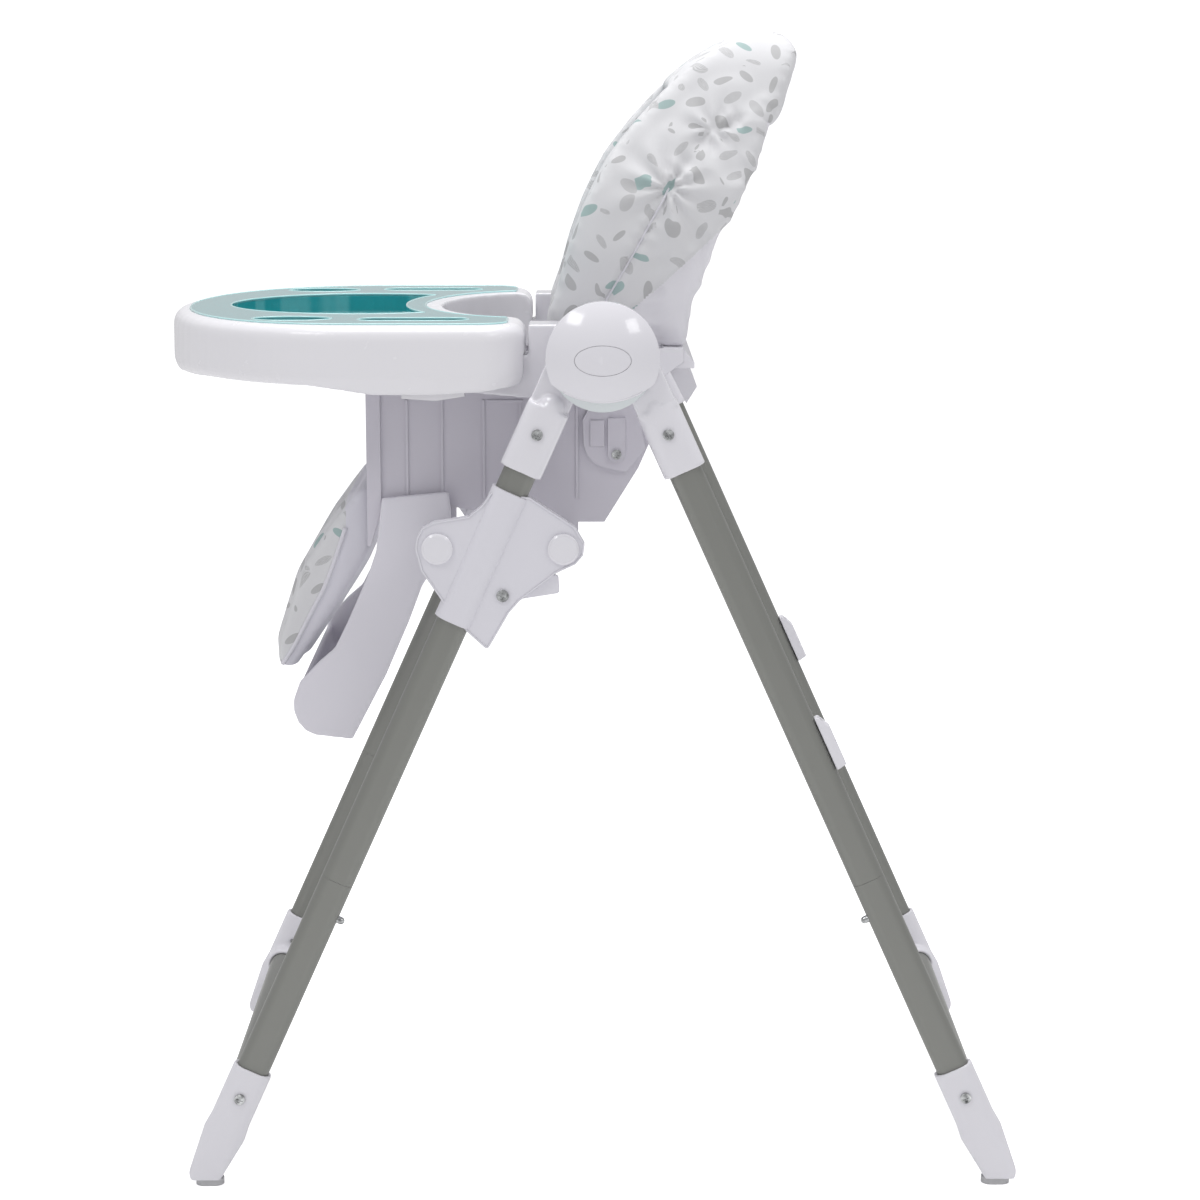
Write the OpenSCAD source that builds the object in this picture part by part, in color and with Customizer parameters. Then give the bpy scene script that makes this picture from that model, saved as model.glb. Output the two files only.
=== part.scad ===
// Folding baby high chair with a sliding seat, a removable tray and a reclining back.
// The child faces -Y, +X is the child's left, and the origin is on the floor below the
// centre of the chair. Left and right pieces mirror across the plane X = 0.

/* [Frame] */
// Distance between the planes of the left and right legs
leg_span = 486; // [440:2:540]
// Angle of each leg from the vertical, in degrees
leg_angle = 24.2; // [22:0.1:26]
// Height of the folding hub above the floor
hub_z = 765; // [740:5:900]
// Distance of the hub behind the centre of the chair
hub_y = 12; // [6:1:18]
// Distance between a leg's axis and the hub's axis
leg_offset = 25; // [25:0.5:30]
// Long width of the oval leg tube, seen from the side
tube_w = 30; // [26:1:32]
// Short width of the oval leg tube, across the chair
tube_t = 18; // [16:1:20]
// Wall of the leg tubes
tube_wall = 1.5; // [1:0.1:2]
// Diameter of the crossbars between the feet
bar_d = 25; // [20:1:28]
// Length along a leg from the hub to the joint between its upper and lower tubes
joint_s = 532; // [480:2:600]

/* [Hub] */
// Radius of the domed hub cover
cover_r = 50; // [48:1:56]
// Depth of the dome at its centre
cover_depth = 26; // [20:1:30]
// Wall of the hub cover
cover_wall = 2.5; // [2:0.5:3]
// Diameter of the hub's pivot bolt
bolt_d = 10; // [8:1:12]

/* [Seat] */
// Outer width of the seat shell
shell_w = 320; // [300:2:330]
// Wall of the moulded seat shell
shell_wall = 3; // [2.5:0.5:4]
// Diameter of the two axles below the seat
axle_d = 12; // [10:1:14]
// Outer width of each armrest
arm_w = 44; // [36:1:46]
// Thickness of the seat cushion
cushion_t = 20; // [14:1:26]
// Width of the backrest at the child's shoulders
back_w = 300; // [270:2:306]
// Width of the backrest at the child's head
head_w = 236; // [200:2:260]

/* [Tray] */
// Outer width of the tray
tray_w = 484; // [440:2:500]
// Height of the tray's top face above the floor
tray_z = 792; // [790:1:800]
// Distance from the middle of the chair to the tray's front edge
tray_front = 395; // [370:1:400]
// Depth of the well that holds the removable insert
well_depth = 26; // [22:1:28]
// Wall of the tray moulding
tray_wall = 3; // [2.5:0.5:4]
// Width of the white rim around the insert
rim_w = 16; // [12:1:24]
// Depth of the insert's middle bowl
bowl_depth = 21; // [14:1:22]

/* [Footrest] */
// Distance between the outer faces of the footrest's arms
footrest_w = 344; // [336:2:360]
// Thickness of each footrest arm
footrest_arm_t = 8; // [6:1:10]

/* [Hidden] */
$fn = 64;
HULL_FN = 32;
FIT = 0.3;        // gap between pieces that touch in use
RUN = 0.08;       // radial gap of a pin that turns in its bore
EPS = 0.01;

leg_x = leg_span / 2;
leg_cos = cos(leg_angle);
leg_sin = sin(leg_angle);
// Length along a leg from the hub to the floor, on the leg's axis
floor_s = (hub_z + leg_offset * leg_sin) / leg_cos;
sleeve_wall = 3.5;                    // wall of the plastic sleeves on the tubes
foot_len = 122;                       // length of a foot along its leg
foot_top_s = floor_s - foot_len;
foot_screw_s = foot_top_s + 28;
sole_t = 6;                           // thickness of the rubber sole
bar_s = foot_top_s + 45;              // where the crossbar meets the foot
socket_end_s = 122;                   // lower end of the sleeve below the hub
socket_top_s = 50;                    // upper end of that sleeve
socket_screw_s = 85;
tube_top_s = 62;                      // upper end of the leg tube inside its socket
snap_s = joint_s + 34;
snap_d = 7;
neck_len = 60;                        // length of the neck that joins two tubes
button_travel = 5;
hub_plate_t = 10;                     // thickness of each hub plate
hub_plate_r = 45;
cover_x = leg_x + hub_plate_t + 1.5 * FIT;  // inner face of the hub cover

// Height slider, along the leg (s) and across it (y from the leg's axis)
slider_top_s = 142;
slider_len = 128;
cap_r = 14;
front_cap = [39.5, 214.6];
rear_cap = [-62.6, 169];
lever_pin = [-30.5, 229.4];
wing_t = 10;

// Places of the axles in the chair's side view
function leg_point(y, s) = [
    hub_y - (y + leg_offset) * leg_cos - s * leg_sin,
    hub_z + (y + leg_offset) * leg_sin - s * leg_cos
];
front_axle_at = leg_point(front_cap[0], front_cap[1]);
rear_axle_at = leg_point(rear_cap[0], rear_cap[1]);

// Seat, in the side view: Y along the chair and Z up
axle_z = front_axle_at[1];
seat_front = -201;
seat_rear = 14;
pan_front_z = axle_z + 44;
pan_rear_z = axle_z + 26;
side_top_z = 736;
recline_at = [20, 722];
arm_top_z = tray_z - well_depth - tray_wall - FIT;
arm_x = shell_w / 2 + FIT;
arm_front = seat_front + 14;
skirt_rear = -57;
belly_apex = -140;
insert_t = 2;

module side_profile(x0, t) translate([x0, 0, 0]) rotate([90, 0, 90]) linear_extrude(t) children();

// Places children in a leg's own frame: local Z runs up the leg and local +Y points
// away from the chair's centre. dir is -1 for a front leg and 1 for a rear leg.
module on_leg(dir) translate([0, hub_y, hub_z]) mirror([0, dir < 0 ? 1 : 0, 0])
    rotate([leg_angle, 0, 0]) children();

// Mirrors a left piece to the right side when side is -1
module on_side(side) mirror([side < 0 ? 1 : 0, 0, 0]) children();

// A solid oval bar along the leg from s0 to s1, with the given widths across and along
module oval_bar(across, along, s0, s1) translate([leg_x, leg_offset, -s1])
    linear_extrude(s1 - s0) oval_2d(across, along);

module oval_2d(across, along) {
    r = across / 2;
    h = along / 2 - r;
    translate([0, h]) circle(r);
    translate([0, -h]) circle(r);
    square([across, 2 * h], center = true);
}

module oval_tube(s0, s1) difference() {
    oval_bar(tube_t, tube_w, s0, s1);
    oval_bar(tube_t - 2 * tube_wall, tube_w - 2 * tube_wall, s0 - 1, s1 + 1);
}

// A pin across the chair at y from the leg's axis and s along the leg
module cross_pin(d, x0, x1, y, s) translate([x0, leg_offset + y, -s]) rotate([0, 90, 0])
    cylinder(d = d, h = x1 - x0);

module screw_head(d, t, x0, y, s) translate([x0, leg_offset + y, -s]) rotate([0, 90, 0]) {
    difference() {
        cylinder(d = d, h = t);
        translate([0, 0, t - 0.8]) linear_extrude(2) {
            square([d * 0.6, d * 0.16], center = true);
            square([d * 0.16, d * 0.6], center = true);
        }
    }
}

// ---- Legs --------------------------------------------------------------------------

// dir: -1 front, 1 rear
module upper_leg(dir, side) color([0.53, 0.53, 0.51]) on_side(side) on_leg(dir) difference() {
    union() {
        oval_tube(tube_top_s, joint_s);
        // the swaged neck that enters the lower tube
        difference() {
            oval_bar(neck_t, neck_w, joint_s - 6, joint_s + neck_len);
            oval_bar(neck_t - 2 * tube_wall, neck_w - 2 * tube_wall, joint_s - 7,
                joint_s + neck_len + 1);
        }
    }
    snap_hole();
    cross_pin(screw_hole_d, leg_x - tube_t, leg_x + tube_t, 0, socket_screw_s);
}
neck_t = tube_t - 2 * tube_wall - 0.4;
neck_w = tube_w - 2 * tube_wall - 0.4;
screw_hole_d = 5;

module lower_leg(dir, side) color([0.53, 0.53, 0.51]) on_side(side) on_leg(dir) difference() {
    oval_tube(joint_s + 0.2, foot_screw_s + 30);
    snap_hole();
    cross_pin(screw_hole_d, leg_x - tube_t, leg_x + tube_t, 0, foot_screw_s);
}

module snap_hole() translate([leg_x, leg_offset, -snap_s]) rotate([90, 0, 0])
    cylinder(d = snap_d + 0.6, h = tube_w);

// A spring button that looks out of the tube on the side that faces the other legs
module snap_button(dir, side) color("silver") on_side(side) on_leg(dir)
    translate([leg_x, leg_offset, -snap_s]) rotate([90, 0, 0]) {
        cylinder(d = snap_d, h = tube_w / 2 + 3);
        translate([0, 0, tube_w / 2 + 3]) intersection() {
            sphere(d = snap_d);
            cylinder(d = snap_d, h = snap_d);
        }
        // the leaf that carries the button inside the tube
        translate([-4, -22, 0]) cube([8, 30, 1.2]);
    }

module foot(dir, side) color([0.85, 0.84, 0.86]) on_side(side) difference() {
    union() {
        on_leg(dir) {
            oval_bar(tube_t + 2 * sleeve_wall, tube_w + 2 * sleeve_wall, foot_top_s, bar_s + 20);
            hull() {
                oval_bar(tube_t + 2 * sleeve_wall, tube_w + 2 * sleeve_wall, bar_s + 8, bar_s + 9);
                oval_bar(tube_t + 2 * sleeve_wall, tube_w + 2 * sleeve_wall + 3, bar_s + 22, bar_s + 23);
                translate([leg_x, leg_offset + 1, -floor_s + 14]) rotate([0, 90, 0])
                    cylinder(d = 30, h = 22, center = true, $fn = HULL_FN);
                translate([leg_x, leg_offset - 6, -floor_s + 9]) rotate([0, 90, 0])
                    cylinder(d = 12, h = 18, center = true, $fn = HULL_FN);
            }
        }
        // the inner boss that holds the crossbar
        translate([leg_x - tube_t / 2 - 22, bar_y(dir), bar_z]) rotate([0, 90, 0])
            cylinder(d = bar_d + 2 * sleeve_wall, h = 24);
    }
    on_leg(dir) oval_bar(tube_t + 0.2, tube_w + 0.2, foot_top_s - 1, foot_screw_s + 30.3);
    on_leg(dir) cross_pin(screw_hole_d, leg_x - 30, leg_x + 30, 0, foot_screw_s);
    translate([0, bar_y(dir), bar_z]) rotate([0, 90, 0])
        cylinder(d = bar_d + 0.2, h = leg_x - tube_t / 2 - 2.5);
    // flat for the sole
    translate([leg_x - 50, -500, -50]) cube([100, 1000, 50 + sole_t]);
}
bar_z = hub_z + leg_offset * leg_sin - bar_s * leg_cos - 5;
function bar_y(dir) = hub_y + dir * (leg_offset * leg_cos + bar_s * leg_sin + 3);

module foot_soles(dir) color([0.25, 0.25, 0.26]) for (side = [-1, 1]) on_side(side)
    translate([leg_x, hub_y + dir * (leg_offset * leg_cos + floor_s * leg_sin - 8), 0]) {
        linear_extrude(sole_t) oval_2d(17, 26);
    }

module crossbar(dir) color([0.6, 0.6, 0.59]) {
    half = leg_x - tube_t / 2 - 3;
    translate([-half, bar_y(dir), bar_z]) rotate([0, 90, 0]) difference() {
        cylinder(d = bar_d, h = 2 * half);
        translate([0, 0, -1]) cylinder(d = bar_d - 2 * tube_wall, h = 2 * half + 2);
    }
}

// ---- Hubs --------------------------------------------------------------------------

module hub_sleeve(dir) on_leg(dir) difference() {
    union() {
        oval_bar(tube_t + 2 * sleeve_wall, tube_w + 2 * sleeve_wall + 2, socket_top_s + 10, socket_end_s);
        translate([leg_x, leg_offset - 2, -socket_top_s - 10])
            sphere(d = tube_t + 2 * sleeve_wall);
    }
    oval_bar(tube_t + 0.2, tube_w + 0.2, tube_top_s - 0.3, socket_end_s + 1);
    cross_pin(screw_hole_d, leg_x - 30, leg_x + 30, 0, socket_screw_s);
}

module hub_arm(dir, x0, t) on_leg(dir) translate([x0, 0, -socket_top_s - 14])
    translate([0, leg_offset - 18, 0]) cube([t, 36, socket_top_s + 2]);

module hub(dir, side) color([0.86, 0.86, 0.88]) on_side(side) {
    x0 = dir < 0 ? leg_x - hub_plate_t - FIT / 2 : leg_x + FIT / 2;
    difference() {
        union() {
            translate([x0, hub_y, hub_z]) rotate([0, 90, 0])
                cylinder(r = hub_plate_r, h = hub_plate_t);
            difference() {
                hub_arm(dir, x0, hub_plate_t);
                on_leg(dir) oval_bar(tube_t + 0.2, tube_w + 0.2, tube_top_s - 0.3, socket_end_s + 1);
            }
            hub_sleeve_outside(dir);
        }
        translate([x0 - 1, hub_y, hub_z]) rotate([0, 90, 0])
            cylinder(d = bolt_d + 2 * RUN, h = hub_plate_t + 2);
    }
}

// The sleeve, kept clear of the other leg's hub plate
module hub_sleeve_outside(dir) difference() {
    hub_sleeve(dir);
    translate([leg_x - 20, hub_y, hub_z]) rotate([0, 90, 0])
        cylinder(r = hub_plate_r + 1, h = 40);
}

module hub_bolts() color("silver") for (side = [-1, 1]) on_side(side)
    translate([leg_x - hub_plate_t - FIT / 2 - 4, hub_y, hub_z]) rotate([0, 90, 0]) {
        cylinder(d = bolt_d, h = 2 * hub_plate_t + 2 * FIT + 4 + EPS);
        cylinder(d = bolt_d + 10, h = 4 - FIT);
        translate([0, 0, 2 * hub_plate_t + 2 * FIT + 4]) cylinder(d = bolt_d + 10, h = bolt_head_t);
    }
bolt_head_t = 5;

// Profile of the dome: r from the hub's axis, h out of the cover's flat face
module dome_2d(inset) {
    rim = 9 - inset;
    r = cover_r - inset;
    h = cover_depth - inset;
    ball_r = (r * r + (h - rim) * (h - rim)) / (2 * (h - rim));
    intersection() {
        square([r, h]);
        translate([0, h - ball_r]) circle(ball_r, $fn = 180);
    }
}

module dome(inset) rotate([0, 90, 0]) rotate_extrude($fn = 128) dome_2d(inset);

// The curved lower edge of the cover, where the fold button looks out
smile_drop = 37;
smile_r = 75;
module above_smile(gap, t) translate([-1, 0, smile_r - smile_drop + gap]) rotate([0, 90, 0])
    cylinder(r = smile_r, h = t, $fn = 180);

badge_a = 24.5;
badge_b = 13;
module badge_2d(grow) polygon([for (i = [0 : 71]) [
    (badge_a + grow) * cos(5 * i), (badge_b + grow) * sin(5 * i)]]);
module badge_prism(grow) rotate([90, 0, 90]) linear_extrude(cover_depth + 5) badge_2d(grow);

module hub_cover(side) color([0.87, 0.87, 0.89]) on_side(side)
    translate([cover_x, hub_y, hub_z]) difference() {
        intersection() {
            dome(0);
            above_smile(0, 40);
        }
        difference() {
            translate([-EPS, 0, 0]) dome(cover_wall);
            // post that bears on the pivot bolt's head
            translate([bolt_head_t + FIT, 0, 0]) rotate([0, 90, 0]) cylinder(r = 7, h = cover_depth);
        }
        // pocket for the badge
        difference() {
            badge_prism(FIT);
            dome(1.6);
        }
    }

module hub_badges() color([0.84, 0.84, 0.86]) for (side = [-1, 1]) on_side(side)
    translate([cover_x, hub_y, hub_z]) difference() {
        intersection() {
            badge_prism(0);
            dome(0);
        }
        dome(1.5);
    }

// A crescent that is pressed upwards into the hollow of the cover
module fold_button(side) color([0.83, 0.85, 0.86]) on_side(side)
    translate([cover_x + FIT, hub_y, hub_z]) difference() {
        intersection() {
            dome(cover_wall + 2 * FIT);
            // still inside the hollow once it is pressed up
            translate([0, 0, -button_travel]) dome(cover_wall + 2 * FIT);
            translate([0, -38, -cover_r]) cube([14, 76, cover_r]);
        }
        translate([-EPS, 0, 22]) rotate([0, 90, 0]) cylinder(r = 52, h = 30, $fn = 128);
    }

// ---- Rear storage hooks ------------------------------------------------------------

hook_s = 400;
module tray_hooks() color([0.86, 0.86, 0.88]) for (side = [-1, 1]) on_side(side) on_leg(1)
    translate([leg_x, leg_offset + tube_w / 2 - 1, -hook_s]) difference() {
        rotate([90, 0, 90]) linear_extrude(14, center = true) polygon([[1, -26], [11, -24], [11, 14],
            [5, 26], [1, 26]]);
        // slot that takes a lug of the stored tray
        translate([-5, 4, -10]) cube([10, 3.5, 60]);
    }

module frame_screws(dir) color("silver") for (side = [-1, 1]) on_side(side) on_leg(dir) {
    out = leg_x + tube_t / 2 + sleeve_wall;
    for (s = [socket_screw_s, foot_screw_s]) {
        cross_pin(screw_hole_d - 0.3, leg_x - 14, out + EPS, 0, s);
        screw_head(10, 2, out, 0, s);
    }
}

// ---- Height sliders ----------------------------------------------------------------

// Front and rear lobes of the slider in the leg's frame, as a smooth outline
module slider_wing_2d() offset(r = 3) offset(delta = -3) polygon([
    [16, -148], [19, -163], [26, -177], [52, -194], [59, -203], [60, -213], [57, -223], [44, -239],
    [13, -258], [-14, -272], [-38, -280], [-42, -241], [-46, -228], [-66, -191], [-78, -177],
    [-81, -167], [-78, -157], [-64, -147], [-17, -139]]);

module height_slider(side) color([0.83, 0.83, 0.85]) on_side(side) on_leg(-1) difference() {
    union() {
        oval_bar(tube_t + 2 * sleeve_wall + 1, tube_w + 5.4, slider_top_s, slider_top_s + slider_len);
        translate([leg_x - 2, leg_offset, 0]) rotate([90, 0, 90]) {
            linear_extrude(wing_t) slider_wing_2d();
            // bead round the wings
            linear_extrude(wing_t + 0.8) difference() {
                slider_wing_2d();
                offset(delta = -1.6) slider_wing_2d();
            }
        }
    }
    oval_bar(tube_t + 2 * FIT, tube_w + 2 * FIT, slider_top_s - 20, slider_top_s + slider_len + 20);
    for (at = [front_cap, rear_cap])
        cross_pin(axle_d + 2 * RUN, leg_x - 20, leg_x + 20, at[0], at[1]);
    cross_pin(screw_hole_d, leg_x - 20, leg_x + 20, lever_pin[0], lever_pin[1]);
    // slot for the lever
    translate([leg_x + lever_x0 - FIT, leg_offset, 0]) rotate([90, 0, 90])
        linear_extrude(lever_t + 2 * FIT) polygon([[-17.6, -160], [-17.6, -300], [-100, -300],
            [-100, -205], [-52, -186]]);
}
lever_t = 4;
lever_x0 = 0.8;

module height_lever(side) color([0.83, 0.83, 0.85]) on_side(side) on_leg(-1) difference() {
    translate([leg_x + lever_x0, leg_offset, 0]) rotate([90, 0, 90]) linear_extrude(lever_t)
        hull() {
            translate([lever_pin[0], -lever_pin[1]]) circle(6);
            translate([-67, -196.5]) circle(3);
            translate([-72, -206]) circle(3);
        }
    cross_pin(screw_hole_d + 2 * RUN, leg_x - 20, leg_x + 20, lever_pin[0], lever_pin[1]);
}

module slider_screws() color("silver") for (side = [-1, 1]) on_side(side) on_leg(-1) {
    cross_pin(screw_hole_d, leg_x - 3, leg_x + wing_t - 2 + EPS, lever_pin[0], lever_pin[1]);
    screw_head(11, 2, leg_x + wing_t - 2, lever_pin[0], lever_pin[1]);
}

module slider_caps() color([0.88, 0.88, 0.9]) for (side = [-1, 1], at = [front_cap, rear_cap])
    on_side(side) on_leg(-1) translate([leg_x + wing_t - 2, leg_offset + at[0], -at[1]])
        rotate([0, 90, 0]) {
            cylinder(r = cap_r, h = 2.5);
            translate([0, 0, 2.5]) cylinder(r1 = cap_r, r2 = cap_r - 2, h = 1.5);
        }

module axle(at) color([0.35, 0.35, 0.36]) translate([-leg_x - wing_t + 2.2, at[0], at[1]])
    rotate([0, 90, 0]) cylinder(d = axle_d, h = 2 * (leg_x + wing_t - 2.2));

// ---- Seat shell --------------------------------------------------------------------

fin_z = axle_z + 10;
module shell_side_2d() polygon([
    [seat_front, side_top_z], [seat_front, axle_z + 20], [seat_front + 12, axle_z + 20],
    [front_axle_at[0] + 10, axle_z + 24], [rear_axle_at[0] - 12, fin_z], [seat_rear, fin_z],
    [45, axle_z + 60], [60, 690], [62, side_top_z]]);

// The pan and the low back wall, as one bent strip
module shell_pan_2d() {
    polygon([
        [seat_front, pan_front_z], [seat_front, pan_front_z - 26], [seat_front + shell_wall, pan_front_z - 26],
        [seat_front + shell_wall, pan_front_z - shell_wall], [seat_rear - 4, pan_rear_z - shell_wall],
        [seat_rear + 6, pan_rear_z], [58, 700], [54, 700], [seat_rear, pan_rear_z + 4],
        [seat_rear - 8, pan_rear_z]]);
}

rib_y = [-166, -134, -96, -63, -11];
rib_top_z = side_top_z - 18;
lug_w = 26;
module seat_shell() color([0.72, 0.7, 0.73]) difference() {
    union() {
        for (side = [-1, 1]) on_side(side) {
            side_profile(shell_w / 2 - shell_wall, shell_wall) shell_side_2d();
            // front flange that ends in a lip
            side_profile(shell_w / 2 - 1, 4.5) polygon([[seat_front - 2, side_top_z],
                [seat_front - 2, axle_z - 12], [seat_front + 1, axle_z - 12],
                [seat_front + 11, axle_z + 22], [seat_front + 11, side_top_z]]);
            for (y = rib_y)
                translate([shell_w / 2 - 1, y - 1.25, axle_z + 32])
                    cube([2.5, 2.5, rib_top_z - axle_z - 32]);
            translate([shell_w / 2 - 1, -93, rib_top_z - 2.5]) cube([2.5, 33, 2.5]);
            // lugs that sit on the axles
            for (at = [front_axle_at, rear_axle_at])
                side_profile(shell_w / 2 - 12, 12 - EPS) translate(at) {
                    circle(d = lug_w);
                    translate([-lug_w / 2, 0]) square([lug_w, pan_rear_z - axle_z - 2]);
                }
        }
        side_profile(-shell_w / 2 + 1, shell_w - 2) shell_pan_2d();
    }
    for (at = [front_axle_at, rear_axle_at])
        translate([-shell_w, at[0], at[1]]) rotate([0, 90, 0])
            cylinder(d = axle_d + 2 * RUN, h = 2 * shell_w);
    translate([-shell_w, recline_at[0], recline_at[1]]) rotate([0, 90, 0])
        cylinder(d = pivot_d + 2 * RUN, h = 2 * shell_w);
}
pivot_d = 10;

// Armrest: low below the tray, and high behind it
module armrest(side) color([0.86, 0.86, 0.88]) on_side(side) difference() {
    side_profile(arm_x, arm_w) polygon([[arm_front, arm_top_z], [arm_front, arm_top_z - 26],
        [-60, arm_top_z - 38], [-16, arm_top_z - 38], [0, recline_at[1] + 20], [20, recline_at[1] + 20],
        [24, recline_at[1] + 26], [24, tray_z - 8], [18, tray_z - 2],
        [skirt_rear + 3, tray_z - 2], [skirt_rear + 3, arm_top_z]]);
    side_profile(arm_x + 3, arm_w - 6) polygon([[arm_front + 3, arm_top_z - 3],
        [arm_front + 3, arm_top_z - 60], [20, arm_top_z - 60], [20, tray_z - 6],
        [skirt_rear + 6, tray_z - 6], [skirt_rear + 6, arm_top_z - 3]]);
}

// Plates on the shell's sides that carry the backrest's pivot
plate_t = 5;
bracket_screw = [25, 669];
tab_t = 3;
module recline_brackets() color([0.8, 0.8, 0.82]) for (side = [-1, 1]) on_side(side) difference() {
    union() {
        // raised tab that the screw holds, and a lower rib beside it
        side_profile(shell_w / 2 + FIT + plate_t - EPS, tab_t) union() {
            translate(bracket_screw) circle(8);
            translate(bracket_screw + [-8, 0]) square([16, 33]);
        }
        side_profile(shell_w / 2 + FIT + plate_t - EPS, 1.5) translate([1, 676]) square([13, 24]);
        side_profile(shell_w / 2 + FIT, plate_t) union() {
            translate(recline_at) circle(16);
            polygon([[recline_at[0] - 26, recline_at[1] - 22], [-5, 678], [-2, 668], [5, 660], [14, 656],
                [34, 652], [52, 674], [recline_at[0] + 22, recline_at[1] - 6],
                [recline_at[0] - 14, recline_at[1]]]);
        }
    }
    translate([0, recline_at[0], recline_at[1]]) rotate([0, 90, 0]) cylinder(d = pivot_d + 2 * RUN, h = 400);
    translate([0, bracket_screw[0], bracket_screw[1]]) rotate([0, 90, 0]) cylinder(d = screw_hole_d, h = 400);
}

module recline_bracket_screws() color("silver") for (side = [-1, 1]) on_side(side)
    translate([shell_w / 2 - 6, bracket_screw[0], bracket_screw[1]]) rotate([0, 90, 0]) {
        translate([0, 0, 6]) cylinder(d = screw_hole_d - 0.2, h = FIT + plate_t + tab_t);
        translate([0, 0, 6 + FIT + plate_t + tab_t]) difference() {
            cylinder(d = 9, h = 2);
            translate([0, 0, 1.2]) linear_extrude(2) {
                square([5.4, 1.4], center = true);
                square([1.4, 5.4], center = true);
            }
        }
    }

// ---- Soft seat ---------------------------------------------------------------------

cushion_w = shell_w - 2 * shell_wall - 4;
cushion_y0 = seat_front + 1;
cushion_y1 = seat_rear - 16;
cushion_tilt = atan((pan_front_z - pan_rear_z - 2) / (cushion_y1 - cushion_y0));
function cushion_top(y) = pan_front_z + cushion_t - (y - cushion_y0) * tan(cushion_tilt);
// Places children on the cushion's sloping top, at y
module on_cushion(y) translate([0, y, cushion_top(y) + FIT]) rotate([-cushion_tilt, 0, 0]) children();
module seat_cushion() color([0.9, 0.9, 0.91]) {
    side_profile(-cushion_w / 2, cushion_w) polygon([
        [cushion_y0, pan_front_z + FIT], [cushion_y0, cushion_top(cushion_y0)],
        [cushion_y1, cushion_top(cushion_y1)], [seat_rear - 10, pan_rear_z + FIT + 1]]);
    for (side = [-1, 1]) on_side(side)
        side_profile(cushion_w / 2 - 12, 12) polygon([
            [seat_front + 6, pan_front_z + 2], [seat_front + 20, 730], [-50, 732], [-14, 700],
            [seat_rear - 22, pan_rear_z + 10]]);
}

strap_w = 25;
strap_t = 2;
lap_y = -40;
buckle_d = 44;
module lap_harness() color([0.55, 0.57, 0.58]) {
    for (side = [-1, 1]) on_side(side) on_cushion(lap_y)
        translate([buckle_d / 2 + FIT, -strap_w / 2, 0])
            cube([cushion_w / 2 - 12 - buckle_d / 2 - 2 * FIT, strap_w, strap_t]);
    on_cushion(lap_y) translate([-strap_w / 2, -buckle_d / 2 - FIT - 70, 0]) cube([strap_w, 70, strap_t]);
}
module harness_buckle() color([0.3, 0.31, 0.32]) on_cushion(lap_y) cylinder(d = buckle_d, h = 12);

// ---- Backrest ----------------------------------------------------------------------

// Side outline of the padded cover: the front edge of its wings, then its rear face
module back_side_2d() polygon([
    [-36, 765], [-38, 792], [-27, 822], [-18, 855], [-4, 892], [19, 936], [42, 966], [66, 992],
    [95, 1017], [122, 1034], [150, 1045], [168, 1048], [182, 1043], [190, 1030], [189, 1018],
    [176, 990], [164, 966], [154, 934], [144, 911], [126, 884], [114, 862], [102, 836],
    [92, 800], [86, 765]]);

// Front outline of the padded cover: wide at the shoulders, rounded at the head
back_base_z = 765;
head_r = 60;
module back_front_view_2d() hull() {
    translate([0, back_base_z]) square([back_w * 0.9, 2], center = true);
    translate([0, back_base_z + 115]) square([back_w, 60], center = true);
    for (x = [-1, 1]) translate([x * (head_w / 2 - head_r), back_base_z + 223])
        circle(head_r, $fn = HULL_FN * 2);
}

module front_view(y0, t) translate([0, y0 + t, 0]) rotate([90, 0, 0]) linear_extrude(t) children();

// Face that the child leans on, and the rear face of the back shell, in the side view
back_face = [[40, 750], [44, 800], [60, 840], [78, 880], [96, 925], [108, 960]];
back_rear = [[84, 748], [92, 800], [102, 836], [114, 862], [126, 884], [144, 911], [154, 934], [164, 966]];
back_shell_t = 12;
scoop_w = 196;
function moved(line, dy) = [for (p = line) [p[0] + dy, p[1]]];
function reversed(line) = [for (i = [len(line) - 1 : -1 : 0]) line[i]];

module backrest_cushion() color([0.92, 0.92, 0.93]) difference() {
    intersection() {
        side_profile(-200, 400) back_side_2d();
        front_view(-100, 400) back_front_view_2d();
    }
    // room for the child between the wings
    side_profile(-scoop_w / 2, scoop_w) polygon(concat([[-80, 700], [-80, 1000], [60, 1000], [95, 985]],
        reversed(back_face)));
    // room for the back shell
    side_profile(-shell_half - FIT, 2 * (shell_half + FIT)) translate([0, FIT]) polygon(concat(
        moved(back_rear, -back_shell_t - FIT), reversed(moved(back_rear, 60))));
}

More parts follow.
